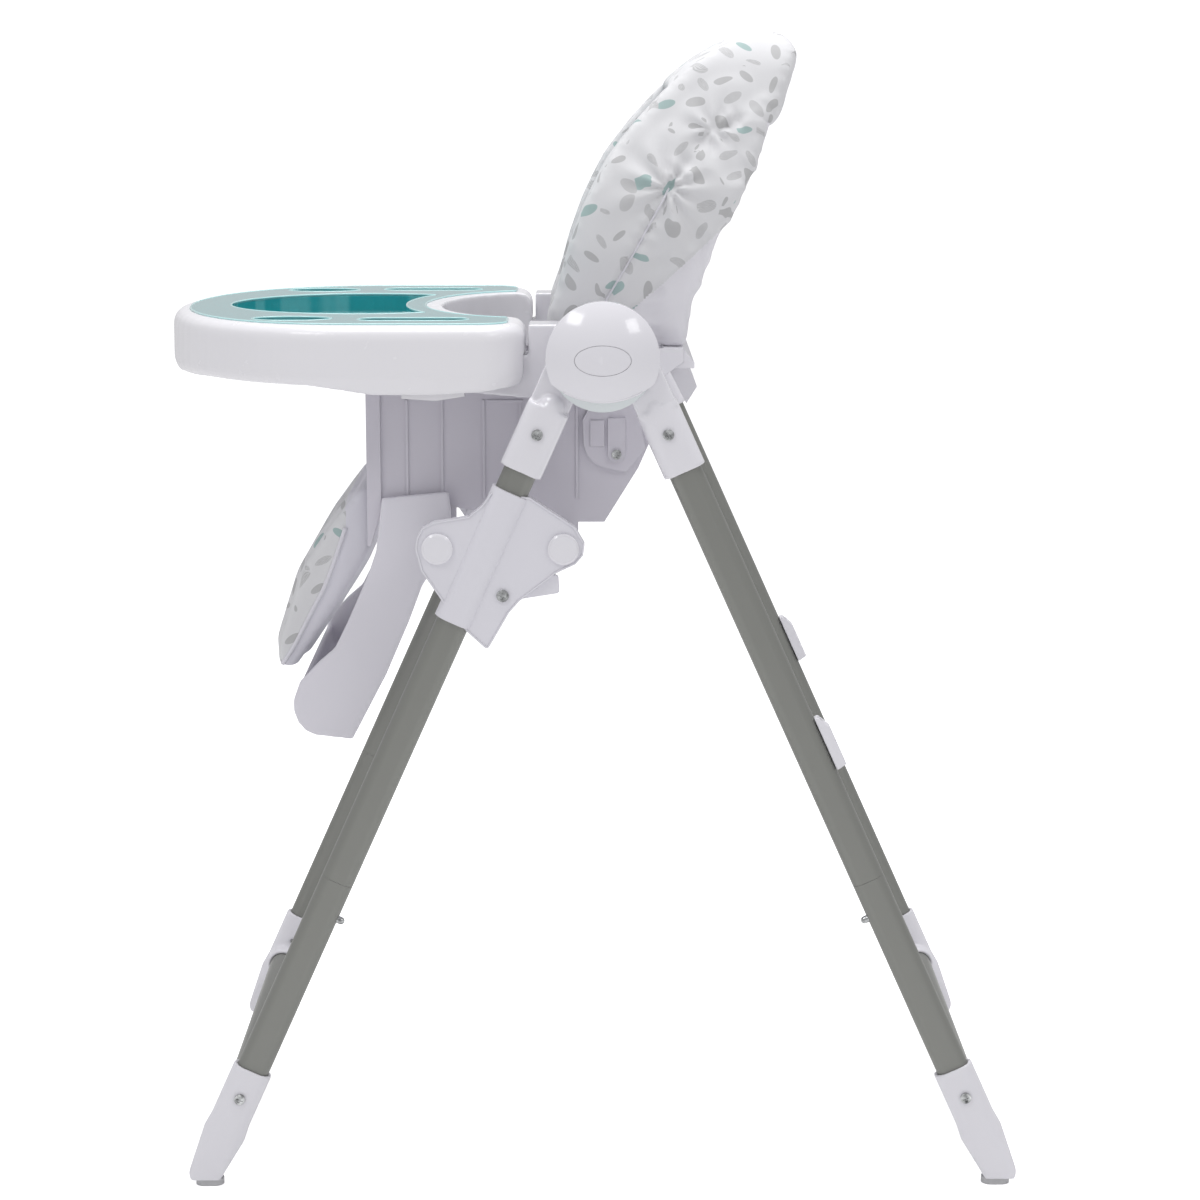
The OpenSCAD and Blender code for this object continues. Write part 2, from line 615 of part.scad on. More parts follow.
shell_half = back_w * 0.45 - 6;
rail_z = 746;
rail_top_z = 764 - FIT;
module backrest_shell() color([0.88, 0.88, 0.9]) {
    difference() {
        side_profile(-shell_half, 2 * shell_half) polygon(concat(
            moved(back_rear, -back_shell_t), reversed(back_rear)));
        // hollow rear face with a rim and a middle rib
        for (x0 = [-shell_half + 4, 2])
            side_profile(x0, shell_half - 6) translate([0, -6]) intersection() {
                polygon(concat(moved(back_rear, 4 - back_shell_t), reversed(moved(back_rear, 9))));
                translate([0, 776]) square([400, 300]);
            }
    }
    // arms down to the pivot
    for (side = [-1, 1]) on_side(side)
        side_profile(shell_w / 2 - shell_wall - 8 - FIT, 8) union() {
            translate(recline_at) circle(15);
            polygon([[recline_at[0] - 8, recline_at[1] + 10], [recline_at[0] + 10, recline_at[1] - 11],
                [86, 752], [86, rail_top_z], [60, rail_top_z]]);
        }
    // cross rail that joins the arms to the curved sheet
    side_profile(-shell_w / 2 + shell_wall + 1 + FIT, shell_w - 2 * shell_wall - 2 - 2 * FIT)
        polygon([[66, rail_z], [96, rail_z], [96, rail_z + 5], [86, rail_top_z], [68, rail_top_z]]);
    // pivot pins
    for (side = [-1, 1]) on_side(side)
        translate([shell_w / 2 - shell_wall - FIT - 4, recline_at[0], recline_at[1]]) rotate([0, 90, 0])
            cylinder(d = pivot_d, h = shell_wall + plate_t + 2 * FIT + 5);
}

strap_line = [for (p = back_face) if (p[1] > 790 && p[1] < 930) p];
module shoulder_straps() color([0.55, 0.57, 0.58]) for (x = [-1, 1])
    side_profile(x * 45 - strap_w / 2, strap_w) polygon(concat(
        moved(strap_line, -strap_t - 2 * FIT), reversed(moved(strap_line, -2 * FIT))));

// Squeeze plate that hangs on a round pin under the cross rail
grip_pin_r = 3.5;
grip_at = [90, rail_z - FIT - grip_pin_r];
module recline_handle() color([0.86, 0.86, 0.88]) {
    side_profile(-60, 120) polygon([[74, 738], grip_at + [-10, 2], grip_at + [0, 2], grip_at + [3, -2],
        [102, 719], [92, 703]]);
    translate([-60 + EPS, grip_at[0], grip_at[1]]) rotate([0, 90, 0]) cylinder(r = grip_pin_r, h = 120 - 2 * EPS);
}

// ---- Footrest and calf pad ---------------------------------------------------------

footrest_x = footrest_w / 2 - footrest_arm_t;
module footrest_side_2d() polygon([
    [-189, 629], [-128, 635], [-126, 617], [-127, 600], [-129, 586], [-153, 548], [-165, 516],
    [-187, 465], [-219, 404], [-253, 408], [-262, 412], [-269, 420], [-273, 431], [-273, 441], [-267, 458],
    [-249, 477], [-234, 490], [-222, 514], [-203, 557], [-195, 580]]);
module footrest() color([0.8, 0.79, 0.82]) difference() {
    union() {
        for (side = [-1, 1]) on_side(side)
            side_profile(footrest_x, footrest_arm_t) footrest_side_2d();
        // foot plate
        side_profile(-footrest_x - 1, 2 * footrest_x + 2) polygon([[-219, 404], [-262, 411], [-269, 421],
            [-273, 433], [-271, 448], [-266, 446], [-265, 432], [-258, 418], [-218, 411]]);
        // rail across the back of the arms
        side_profile(-footrest_x - 1, 2 * footrest_x + 2) polygon([[-187, 465], [-219, 404], [-222, 411],
            [-191, 467]]);
    }
    translate([-shell_w, front_axle_at[0], front_axle_at[1]]) rotate([0, 90, 0])
        cylinder(d = axle_d + 2 * RUN, h = 2 * shell_w);
}

calf_w = 280;
module calf_pad() color([0.92, 0.92, 0.93]) side_profile(-calf_w / 2, calf_w) polygon([
    [seat_front - FIT, 636], [-212, 634], [-235, 604], [-254, 578], [-269, 553], [-282, 511], [-288, 493],
    [-291, 476], [-289, 468], [-282, 464], [-273, 466], [-258, 489], [-237, 520], [-219, 548], [-206, 569],
    [seat_front - FIT, 585]]);

// ---- Tray --------------------------------------------------------------------------

// Plan outline of the tray inset by d: a rounded nose in front and round rear corners
nose_depth = 185;
nose_y = -tray_front + nose_depth;
module tray_plan_2d(d) {
    a = tray_w / 2 - d;
    b = nose_depth - d;
    rear = 44 - d;
    hull() {
        polygon([for (i = [0 : 36]) [a * cos(180 + 5 * i), nose_y + b * super_sin(5 * i)]]);
        for (x = [-1, 1]) translate([x * (tray_w / 2 - 44), skirt_rear - 44]) circle(rear);
    }
}
// A slightly squared nose
function super_sin(t) = -pow(abs(sin(t)), 0.92);

// Cut-out for the child's belly, grown by d
belly_w = 290;
belly_y = skirt_rear + 6;
module belly_2d(d) translate([0, belly_y]) ellipse_2d(belly_w / 2 + d, belly_y - belly_apex + d);
module ellipse_2d(a, b) polygon([for (i = [0 : 71]) [a * cos(5 * i), b * sin(5 * i)]]);

round_r = 12;
module tray_block() hull() {
    for (k = [0 : 3]) translate([0, 0, tray_z - round_r + round_r * sin(30 * k) - 1])
        linear_extrude(1) tray_plan_2d(round_r * (1 - cos(30 * k)) + 0.2);
    translate([0, 0, tray_z - 46]) linear_extrude(1) tray_plan_2d(0);
    translate([0, 0, tray_z - 66]) linear_extrude(1) tray_plan_2d(8);
}
// Lower edge of the tray's skirt in the side view
module skirt_edge_2d() polygon([[-tray_front - 10, tray_z - 56], [-tray_front + 55, tray_z - 52],
    [-250, tray_z - 53], [-220, tray_z - 57], [-190, tray_z - 62], [-140, tray_z - 62],
    [-94, tray_z - 59], [-40, tray_z - 52], [-40, tray_z - 90], [-tray_front - 10, tray_z - 90]]);

module insert_plan_2d(d) difference() {
    tray_plan_2d(rim_w + d);
    belly_2d(rim_w + d);
}

module tray_base() color([0.86, 0.86, 0.88]) difference() {
    tray_block();
    translate([0, 0, tray_z - 100]) linear_extrude(200) belly_2d(0);
    // well for the insert
    translate([0, 0, tray_z - 2]) linear_extrude(5) insert_plan_2d(0);
    translate([0, 0, tray_z - well_depth]) linear_extrude(40) insert_plan_2d(10);
    // hollow underside
    translate([0, 0, tray_z - 100]) linear_extrude(100 - well_depth - tray_wall) difference() {
        tray_plan_2d(tray_wall + 8);
        belly_2d(tray_wall);
    }
    side_profile(-300, 600) skirt_edge_2d();
    // the armrests pass through the skirt's rear edge
    for (side = [-1, 1]) on_side(side)
        translate([arm_x - 1.5, skirt_rear - 40, arm_top_z - 60]) cube([arm_w + 3, 60, 60 + FIT]);
}

// Pockets in the insert, in plan
module pocket_2d(kind) {
    if (kind == "bowl") difference() {
        translate([0, nose_y - 6]) ellipse_2d(124, 128);
        translate([-200, -150]) square([400, 200]);
        belly_2d(rim_w + 16);
    }
    if (kind == "round") translate([169, -268]) ellipse_2d(24, 38);
    if (kind == "long") translate([178, -158]) oval_2d(34, 104);
}
module insert_pockets(d) {
    translate([0, 0, tray_z - bowl_depth + d]) linear_extrude(60) offset(delta = -d) pocket_2d("bowl");
    for (side = [-1, 1], kind = ["round", "long"]) on_side(side)
        translate([0, 0, tray_z - 14 + d]) linear_extrude(60) offset(delta = -d) pocket_2d(kind);
}
module tray_insert() color([0.35, 0.66, 0.68, 0.75]) difference() {
    union() {
        translate([0, 0, tray_z - 2 + FIT]) linear_extrude(2.7) insert_plan_2d(FIT);
        intersection() {
            insert_pockets(0);
            translate([0, 0, tray_z - 40]) linear_extrude(41) insert_plan_2d(10 + FIT);
        }
    }
    insert_pockets(insert_t);
}

// Release paddles below the tray's sides
module tray_release(side) color([0.84, 0.84, 0.86]) on_side(side)
    side_profile(tray_w / 2 - tray_wall - 8 - FIT - 10, 10) polygon([[-166, tray_z - 48], [-112, tray_z - 48],
        [-110, tray_z - 63], [-136, tray_z - 67], [-166, tray_z - 65]]);

// ---- Assembly ----------------------------------------------------------------------

upper_leg(-1, 1);  // front_upper_leg_left
upper_leg(-1, -1);  // front_upper_leg_right
lower_leg(-1, 1);  // front_lower_leg_left
lower_leg(-1, -1);  // front_lower_leg_right
crossbar(-1);  // front_crossbar
foot(-1, 1);  // front_foot_left
foot(-1, -1);  // front_foot_right
foot_soles(-1);  // front_foot_soles
hub(-1, 1);  // front_hub_left
hub(-1, -1);  // front_hub_right
hub_cover(1);  // hub_cover_left
hub_cover(-1);  // hub_cover_right
hub_badges();
hub_bolts();
frame_screws(-1);  // front_frame_screws
fold_button(1);  // fold_button_left
fold_button(-1);  // fold_button_right
snap_button(-1, 1);  // front_snap_button_left
snap_button(-1, -1);  // front_snap_button_right
upper_leg(1, 1);  // rear_upper_leg_left
upper_leg(1, -1);  // rear_upper_leg_right
lower_leg(1, 1);  // rear_lower_leg_left
lower_leg(1, -1);  // rear_lower_leg_right
crossbar(1);  // rear_crossbar
foot(1, 1);  // rear_foot_left
foot(1, -1);  // rear_foot_right
foot_soles(1);  // rear_foot_soles
hub(1, 1);  // rear_hub_left
hub(1, -1);  // rear_hub_right
frame_screws(1);  // rear_frame_screws
tray_hooks();
snap_button(1, 1);  // rear_snap_button_left
snap_button(1, -1);  // rear_snap_button_right
height_slider(1);  // height_slider_left
height_slider(-1);  // height_slider_right
slider_caps();
slider_screws();
height_lever(1);  // height_lever_left
height_lever(-1);  // height_lever_right
axle(front_axle_at);  // front_axle
axle(rear_axle_at);  // rear_axle
seat_shell();
armrest(1);  // armrest_left
armrest(-1);  // armrest_right
recline_brackets();
recline_bracket_screws();
seat_cushion();
lap_harness();
harness_buckle();
backrest_shell();
backrest_cushion();
shoulder_straps();
recline_handle();
footrest();
calf_pad();
tray_base();
tray_release(1);  // tray_release_left
tray_release(-1);  // tray_release_right
tray_insert();
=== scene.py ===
import math

import bmesh
import bpy
import numpy as np
from mathutils import Matrix, Vector, noise
from mathutils.bvhtree import BVHTree


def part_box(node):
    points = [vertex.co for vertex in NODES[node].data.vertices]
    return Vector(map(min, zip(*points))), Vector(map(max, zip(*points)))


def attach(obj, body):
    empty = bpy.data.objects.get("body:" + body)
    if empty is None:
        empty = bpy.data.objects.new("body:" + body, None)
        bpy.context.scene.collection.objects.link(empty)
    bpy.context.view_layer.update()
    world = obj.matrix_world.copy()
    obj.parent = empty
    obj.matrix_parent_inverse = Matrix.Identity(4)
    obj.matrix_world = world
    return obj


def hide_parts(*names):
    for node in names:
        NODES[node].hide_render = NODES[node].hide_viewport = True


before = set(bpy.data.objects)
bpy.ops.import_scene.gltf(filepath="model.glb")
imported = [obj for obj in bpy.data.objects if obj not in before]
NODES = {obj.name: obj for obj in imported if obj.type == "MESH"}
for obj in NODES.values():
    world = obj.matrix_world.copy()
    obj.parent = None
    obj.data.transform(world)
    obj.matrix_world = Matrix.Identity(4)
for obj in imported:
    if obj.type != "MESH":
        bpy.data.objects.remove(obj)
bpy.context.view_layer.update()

SIDES = ((-1, "right"), (1, "left"))
scene = bpy.context.scene
scene.view_settings.view_transform = "Standard"


# ---- Camera, light and floor -------------------------------------------------------

def studio_camera():
    """A long lens on the child's left, level with the head cushion, looking a little down."""
    stands_at = (2.7867, -0.0014, 1.0168)
    down, turn, lean = math.radians(10.441), math.radians(0.247), math.radians(-0.022)
    level_share = math.cos(down)
    ahead = Vector((-level_share * math.cos(turn), level_share * math.sin(turn), -math.sin(down)))
    level = Vector((math.sin(turn), math.cos(turn), 0.0))
    over = level.cross(ahead)
    right = level * math.cos(lean) + over * math.sin(lean)
    up = over * math.cos(lean) - level * math.sin(lean)
    data = bpy.data.cameras.new("studio_camera")
    data.lens, data.sensor_width = 87.0, 36.0
    data.clip_start, data.clip_end = 0.05, 100.0
    camera = bpy.data.objects.new("studio_camera", data)
    turned = Matrix((right, up, -ahead)).transposed().to_4x4()
    camera.matrix_world = Matrix.Translation(stands_at) @ turned
    scene.collection.objects.link(camera)
    scene.camera = camera


def softbox(name, at, aim, size, power):
    """An area light of a given size and power in watts, turned to the point it lights."""
    data = bpy.data.lights.new(name, "AREA")
    data.shape, data.size, data.size_y = "RECTANGLE", size[0], size[1]
    data.energy = power
    light = bpy.data.objects.new(name, data)
    light.location = at
    light.rotation_mode = "QUATERNION"
    light.rotation_quaternion = (Vector(aim) - Vector(at)).to_track_quat("-Z", "Y")
    scene.collection.objects.link(light)


def white_surround():
    """The paper behind the chair is lit white, and lights the chair less than it shows."""
    light_level, shown_level = 0.55, 1.15
    world = bpy.data.worlds.new("studio_white")
    world.use_nodes = True
    sky = world.node_tree.nodes["Background"]
    sky.inputs["Color"].default_value = (0.98, 0.98, 1.0, 1.0)
    w = Wiring(world.node_tree)
    w.plug(sky, "Strength", w.seen_or_lit(light_level, shown_level))
    scene.world = world


def paper_floor():
    """The paper floor shows white to its far edge, but throws little light up."""
    light_level, shown_level = 0.10, 0.66
    reach = 40.0
    mesh = bpy.data.meshes.new("studio_floor")
    corners = [(-reach, -reach, 0), (reach, -reach, 0), (reach, reach, 0), (-reach, reach, 0)]
    mesh.from_pydata(corners, [], [(0, 1, 2, 3)])
    floor = bpy.data.objects.new("studio_floor", mesh)
    scene.collection.objects.link(floor)
    paper = bpy.data.materials.new("floor_paper")
    paper.use_nodes = True
    skin = paper.node_tree.nodes["Principled BSDF"]
    skin.inputs["Base Color"].default_value = (0.93, 0.93, 0.93, 1)
    skin.inputs["Roughness"].default_value = 0.9
    skin.inputs["Specular IOR Level"].default_value = 0.1
    skin.inputs["Emission Color"].default_value = (1, 1, 1, 1)
    w = Wiring(paper.node_tree)
    w.plug(skin, "Emission Strength", w.seen_or_lit(light_level, shown_level))
    mesh.materials.append(paper)


def studio():
    """Two small lights high on the camera's side, and a large soft one above."""
    seat_height, low_height = (0.0, 0.0, 0.7), (0.0, 0.0, 0.5)
    white_surround()
    softbox("key_box", (1.5, -1.3, 2.5), seat_height, (0.8, 0.62), 9.0)
    softbox("fill_box", (1.7, 1.5, 2.2), seat_height, (0.62, 0.7), 6.0)
    softbox("top_box", (-0.2, 0.0, 3.0), low_height, (2.0, 2.0), 50.0)
    paper_floor()


# ---- Finishes ----------------------------------------------------------------------

class Wiring:
    """Adds nodes to one node tree in few words."""

    def __init__(self, tree):
        self.tree = tree

    def node(self, kind, settings=None, **plugs):
        """A new node. A plug is named as its socket, or i0, i1 for the first and second socket."""
        made = self.tree.nodes.new(kind)
        for key, value in (settings or {}).items():
            setattr(made, key, value)
        for key, value in plugs.items():
            numbered = key[0] == "i" and key[1:].isdigit()
            self.plug(made, int(key[1:]) if numbered else key.replace("_", " "), value)
        return made

    def plug(self, made, key, value):
        if isinstance(value, bpy.types.NodeSocket):
            self.tree.links.new(value, made.inputs[key])
        else:
            made.inputs[key].default_value = value

    def math(self, how, a, b=0.0, clamp=False):
        return self.node("ShaderNodeMath", {"operation": how, "use_clamp": clamp}, i0=a, i1=b).outputs[0]

    def vector(self, how, a, b=(0.0, 0.0, 0.0)):
        made = self.node("ShaderNodeVectorMath", {"operation": how}, i0=a, i1=b)
        return made.outputs["Value" if how in ("DOT_PRODUCT", "LENGTH") else "Vector"]

    def scaled(self, a, by):
        made = self.node("ShaderNodeVectorMath", {"operation": "SCALE"}, i0=a)
        self.plug(made, "Scale", by)
        return made.outputs["Vector"]

    def mix(self, share, a, b):
        """Two colours mixed. The node's sockets for colours are found by number."""
        factor, first, second, mixed = 0, 6, 7, 2
        made = self.node("ShaderNodeMix", {"data_type": "RGBA"})
        self.plug(made, factor, share)
        self.plug(made, first, a)
        self.plug(made, second, b)
        return made.outputs[mixed]

    def ramp(self, value, low, high, to_low=0.0, to_high=1.0):
        return self.node("ShaderNodeMapRange", {"interpolation_type": "SMOOTHSTEP"}, Value=value,
                         From_Min=low, From_Max=high, To_Min=to_low, To_Max=to_high).outputs[0]

    def object_point(self):
        return self.node("ShaderNodeTexCoord").outputs["Object"]

    def noise(self, here, scale, detail):
        return self.node("ShaderNodeTexNoise", None, Vector=here, Scale=scale, Detail=detail).outputs[0]

    def seen_or_lit(self, lit, seen):
        """One value for the light that a surface throws, and another for how the camera sees it."""
        by_camera = self.node("ShaderNodeLightPath").outputs["Is Camera Ray"]
        return self.node("ShaderNodeMapRange", None, Value=by_camera, To_Min=lit, To_Max=seen).outputs[0]


def effect(name, inputs, outputs, build):
    """A node group: inputs and outputs are (name, kind, value) and (name, kind)."""
    tree = bpy.data.node_groups.new(name, "ShaderNodeTree")
    for label, kind, value in inputs:
        socket = tree.interface.new_socket(name=label, in_out="INPUT", socket_type="NodeSocket" + kind)
        socket.default_value = value
    for label, kind in outputs:
        tree.interface.new_socket(name=label, in_out="OUTPUT", socket_type="NodeSocket" + kind)
    wiring = Wiring(tree)
    given = tree.nodes.new("NodeGroupInput").outputs
    results = tree.nodes.new("NodeGroupOutput")
    for label, socket in build(wiring, given).items():
        tree.links.new(socket, results.inputs[label])
    return tree


def build_moulded_skin(w, given):
    """Soft mould edges, a fine spark-eroded grain, and a mask of the edges."""
    eased = w.node("ShaderNodeBevel", {"samples": 4}, Radius=given["Edge Radius"]).outputs[0]
    here = w.object_point()
    grain = w.noise(here, given["Grain Scale"], 2.0)
    waves = w.noise(here, 18.0, 1.0)
    height = w.math("ADD", w.math("MULTIPLY", grain, 0.35), waves)
    bump = w.node("ShaderNodeBump", None, Strength=given["Grain Depth"], Distance=0.0006, Height=height,
                  Normal=eased)
    flat = w.node("ShaderNodeNewGeometry").outputs["Normal"]
    turned = w.math("SUBTRACT", 1.0, w.vector("DOT_PRODUCT", eased, flat))
    return {"Normal": bump.outputs[0], "Edge": w.math("MULTIPLY", turned, 5.0, clamp=True)}


def build_mottled_colour(w, given):
    """A colour that drifts a little in patches, and turns to a second colour on the edges."""
    here = w.object_point()
    cloud = w.noise(here, given["Cloud Scale"], 3.0)
    drift = w.math("MULTIPLY", w.math("SUBTRACT", cloud, 0.5), given["Drift"])
    shade = w.node("ShaderNodeHueSaturation", None, Color=given["Colour"],
                   Value=w.math("ADD", 1.0, drift)).outputs[0]
    share = w.math("MULTIPLY", given["Edge"], given["Edge Share"])
    return {"Colour": w.mix(share, shade, given["Edge Colour"])}


def build_handled_gloss(w, given):
    """Roughness that varies with faint rubbing marks."""
    here = w.object_point()
    rub = w.noise(here, given["Mark Scale"], 4.0)
    swing = w.math("MULTIPLY", w.math("SUBTRACT", rub, 0.5), given["Swing"])
    return {"Roughness": w.math("ADD", given["Roughness"], swing, clamp=True)}


def build_weave(w, given):
    """Plain weave: two sets of threads, over and under, from the piece's own thread lines."""
    lines = w.node("ShaderNodeAttribute", {"attribute_name": "threads"}).outputs["Vector"]
    split = w.node("ShaderNodeSeparateXYZ", None, i0=w.scaled(lines, given["Thread Scale"])).outputs
    warp = w.math("SINE", split[0])
    weft = w.math("SINE", split[1])
    over = w.math("MAXIMUM", w.math("MULTIPLY", warp, w.math("SIGN", weft)),
                  w.math("MULTIPLY", weft, w.math("SIGN", warp)))
    here = w.object_point()
    slub = w.noise(here, 420.0, 2.0)
    height = w.math("ADD", w.math("MULTIPLY", over, 0.5), slub)
    bump = w.node("ShaderNodeBump", None, Strength=given["Depth"], Distance=0.0003, Height=height)
    return {"Normal": bump.outputs[0], "Thread": over}


def build_petal_print(w, given):
    """Scattered petals in grey and teal ink, one in each cell of a jittered lattice."""
    here = w.object_point()
    cells = w.node("ShaderNodeTexVoronoi", {"voronoi_dimensions": "3D", "feature": "F1"}, Vector=here,
                   Scale=given["Cells"], Randomness=0.62)
    facing = w.node("ShaderNodeNewGeometry").outputs["Normal"]
    away = w.vector("SUBTRACT", here, cells.outputs["Position"])
    deep = w.vector("DOT_PRODUCT", away, facing)
    flat = w.vector("SUBTRACT", away, w.scaled(facing, deep))
    pick = w.vector("SUBTRACT", cells.outputs["Color"], (0.5, 0.5, 0.5))
    along = w.vector("SUBTRACT", pick, w.scaled(facing, w.vector("DOT_PRODUCT", pick, facing)))
    along = w.vector("NORMALIZE", along)
    length = w.vector("DOT_PRODUCT", flat, along)
    reach = w.vector("LENGTH", flat)
    across = w.math("SQRT", w.math("MAXIMUM", w.math("SUBTRACT", w.math("MULTIPLY", reach, reach),
                                                     w.math("MULTIPLY", length, length)), 0.0))
    chance = w.node("ShaderNodeSeparateColor", None, i0=cells.outputs["Color"]).outputs
    stout = w.math("ADD", 0.30, w.math("MULTIPLY", chance[0], 0.3))
    tip = w.math("DIVIDE", w.math("ABSOLUTE", length), given["Petal Length"])
    side = w.math("DIVIDE", across, w.math("MULTIPLY", given["Petal Length"], stout))
    far = w.math("DIVIDE", deep, w.math("MULTIPLY", given["Petal Length"], 1.7))
    rim = w.math("ADD", w.math("ADD", w.math("POWER", tip, 2.0), w.math("POWER", side, 2.0)),
                 w.math("POWER", w.math("ABSOLUTE", far), 2.0))
    petal = w.ramp(rim, 0.9, 1.02, 1.0, 0.0)
    # fine lines along the petal lighten nearly half of the petals
    lines_across, lines_along = 5200.0, 900.0
    hatched_above, teal_below = 0.55, 0.15
    hatch = w.math("SINE", w.math("ADD", w.math("MULTIPLY", across, lines_across),
                                  w.math("MULTIPLY", length, lines_along)))
    hatched = w.math("GREATER_THAN", chance[1], hatched_above)
    lines = w.math("MULTIPLY", hatched, w.ramp(hatch, -0.2, 0.3, 0.0, 0.62))
    teal = w.math("LESS_THAN", chance[1], teal_below)
    ink = w.mix(teal, given["Grey Ink"], given["Teal Ink"])
    return {"Mask": w.math("MULTIPLY", petal, w.math("SUBTRACT", 1.0, lines)), "Ink": ink}


MOULDED_SKIN = effect(
    "moulded_skin",
    [("Edge Radius", "Float", 0.0008), ("Grain Scale", "Float", 900.0), ("Grain Depth", "Float", 0.1)],
    [("Normal", "Vector"), ("Edge", "Float")], build_moulded_skin)
MOTTLED_COLOUR = effect(
    "mottled_colour",
    [("Colour", "Color", (1, 1, 1, 1)), ("Edge Colour", "Color", (1, 1, 1, 1)), ("Edge", "Float", 0.0),
     ("Edge Share", "Float", 0.2), ("Drift", "Float", 0.05), ("Cloud Scale", "Float", 6.0)],
    [("Colour", "Color")], build_mottled_colour)
HANDLED_GLOSS = effect(
    "handled_gloss",
    [("Roughness", "Float", 0.3), ("Swing", "Float", 0.08), ("Mark Scale", "Float", 60.0)],
    [("Roughness", "Float")], build_handled_gloss)
WEAVE = effect(
    "weave", [("Thread Scale", "Float", 6000.0), ("Depth", "Float", 0.3)],
    [("Normal", "Vector"), ("Thread", "Float")], build_weave)
PETAL_PRINT = effect(
    "petal_print",
    [("Cells", "Float", 43.0), ("Petal Length", "Float", 0.0092),
     ("Grey Ink", "Color", (0.46, 0.46, 0.465, 1)), ("Teal Ink", "Color", (0.34, 0.46, 0.45, 1))],
    [("Mask", "Float"), ("Ink", "Color")], build_petal_print)


def finish_material(name, **plugs):
    """A new material with its wiring and its Principled shader, with plain values set on the shader."""
    made = bpy.data.materials.new(name)
    made.use_nodes = True
    wiring = Wiring(made.node_tree)
    shader = made.node_tree.nodes["Principled BSDF"]
    for key, value in plugs.items():
        wiring.plug(shader, key.replace("_", " "), value)
    return made, wiring, shader


def use(wiring, group, **plugs):
    """The outputs of an effect inside a material."""
    return wiring.node("ShaderNodeGroup", {"node_tree": group}, **plugs).outputs


def moulded(name, colour, roughness, edge=0.0007, depth=0.1, grain=900.0, drift=0.04, cloud=6.0,
            swing=0.08, edge_colour=None, edge_share=0.25, **plugs):
    """A hard finish: plastic, painted or plated metal, or rubber."""
    made, w, shader = finish_material(name, **plugs)
    skin = use(w, MOULDED_SKIN, Edge_Radius=edge, Grain_Scale=grain, Grain_Depth=depth)
    tone = use(w, MOTTLED_COLOUR, Colour=(*colour, 1), Edge_Colour=(*(edge_colour or colour), 1),
               Edge=skin["Edge"], Edge_Share=edge_share, Drift=drift, Cloud_Scale=cloud)
    gloss = use(w, HANDLED_GLOSS, Roughness=roughness, Swing=swing)
    w.plug(shader, "Base Color", tone["Colour"])
    w.plug(shader, "Roughness", gloss["Roughness"])
    w.plug(shader, "Normal", skin["Normal"])
    return made


def insert_plastic():
    """Clear teal tray liner: deeper in its bowl and pockets than on the rim that lies on the tray, with
    painted highlights on its walls and edges.
    """
    made, w, shader = finish_material("insert_plastic", Transmission_Weight=0.3, IOR=1.46, Coat_Weight=0.4,
                                      Coat_Roughness=0.03)
    skin = use(w, MOULDED_SKIN, Edge_Radius=0.0018, Grain_Scale=500.0, Grain_Depth=0.05)
    here = w.object_point()
    tall = w.node("ShaderNodeSeparateXYZ", None, i0=here).outputs[2]
    rim = w.ramp(tall, LINER_TOP - 0.0032, LINER_TOP - 0.0012)
    # painted highlight: lighter upright bands painted on the curved walls of the bowl and pockets, standing
    # in for light caught there
    upright = w.vector("MULTIPLY", here, (1.0, 1.0, 0.04))
    highlight_bands = w.noise(upright, 30.0, 1.0)
    level = w.vector("DOT_PRODUCT", w.node("ShaderNodeNewGeometry").outputs["Normal"], (0.0, 0.0, 1.0))
    upright_face = w.ramp(w.math("ABSOLUTE", level), 0.25, 0.6, 0.55, 0.0)
    painted_highlight = w.math("MULTIPLY", w.ramp(highlight_bands, 0.45, 0.56), upright_face)
    wall = w.mix(painted_highlight, (0.045, 0.45, 0.49, 1), (0.28, 0.70, 0.72, 1))
    tone = w.mix(w.math("MULTIPLY", rim, 0.75), wall, (0.30, 0.62, 0.63, 1))
    # painted highlight: the pale teal on the sharp edges stands in for light caught along them
    tone = use(w, MOTTLED_COLOUR, Colour=tone, Edge_Colour=(0.66, 0.86, 0.86, 1), Edge=skin["Edge"],
               Edge_Share=0.8, Drift=0.06)
    w.plug(shader, "Base Color", tone["Colour"])
    w.plug(shader, "Roughness", use(w, HANDLED_GLOSS, Roughness=0.08, Swing=0.04)["Roughness"])
    w.plug(shader, "Normal", skin["Normal"])
    return made


def cloth(name, colour, printed, thread=5600.0, depth=0.25, roughness=0.82, sheen=0.25):
    """Woven cotton, wiped with a soft coating, with or without the petal print."""
    made, w, shader = finish_material(name, Sheen_Weight=sheen, Sheen_Roughness=0.4,
                                      Specular_IOR_Level=0.35)
    woven = use(w, WEAVE, Thread_Scale=thread, Depth=depth)
    shaded = w.math("MULTIPLY", w.math("SUBTRACT", 1.0, woven["Thread"]), 0.12)
    ground = w.mix(shaded, (*colour, 1), tuple(0.8 * c for c in colour) + (1,))
    tone = use(w, MOTTLED_COLOUR, Colour=ground, Drift=0.05, Cloud_Scale=9.0)["Colour"]
    if printed:
        petals = use(w, PETAL_PRINT)
        tone = w.mix(w.math("MULTIPLY", petals["Mask"], 0.92), tone, petals["Ink"])
    w.plug(shader, "Base Color", tone)
    w.plug(shader, "Roughness", use(w, HANDLED_GLOSS, Roughness=roughness, Swing=0.1)["Roughness"])
    w.plug(shader, "Normal", woven["Normal"])
    return made


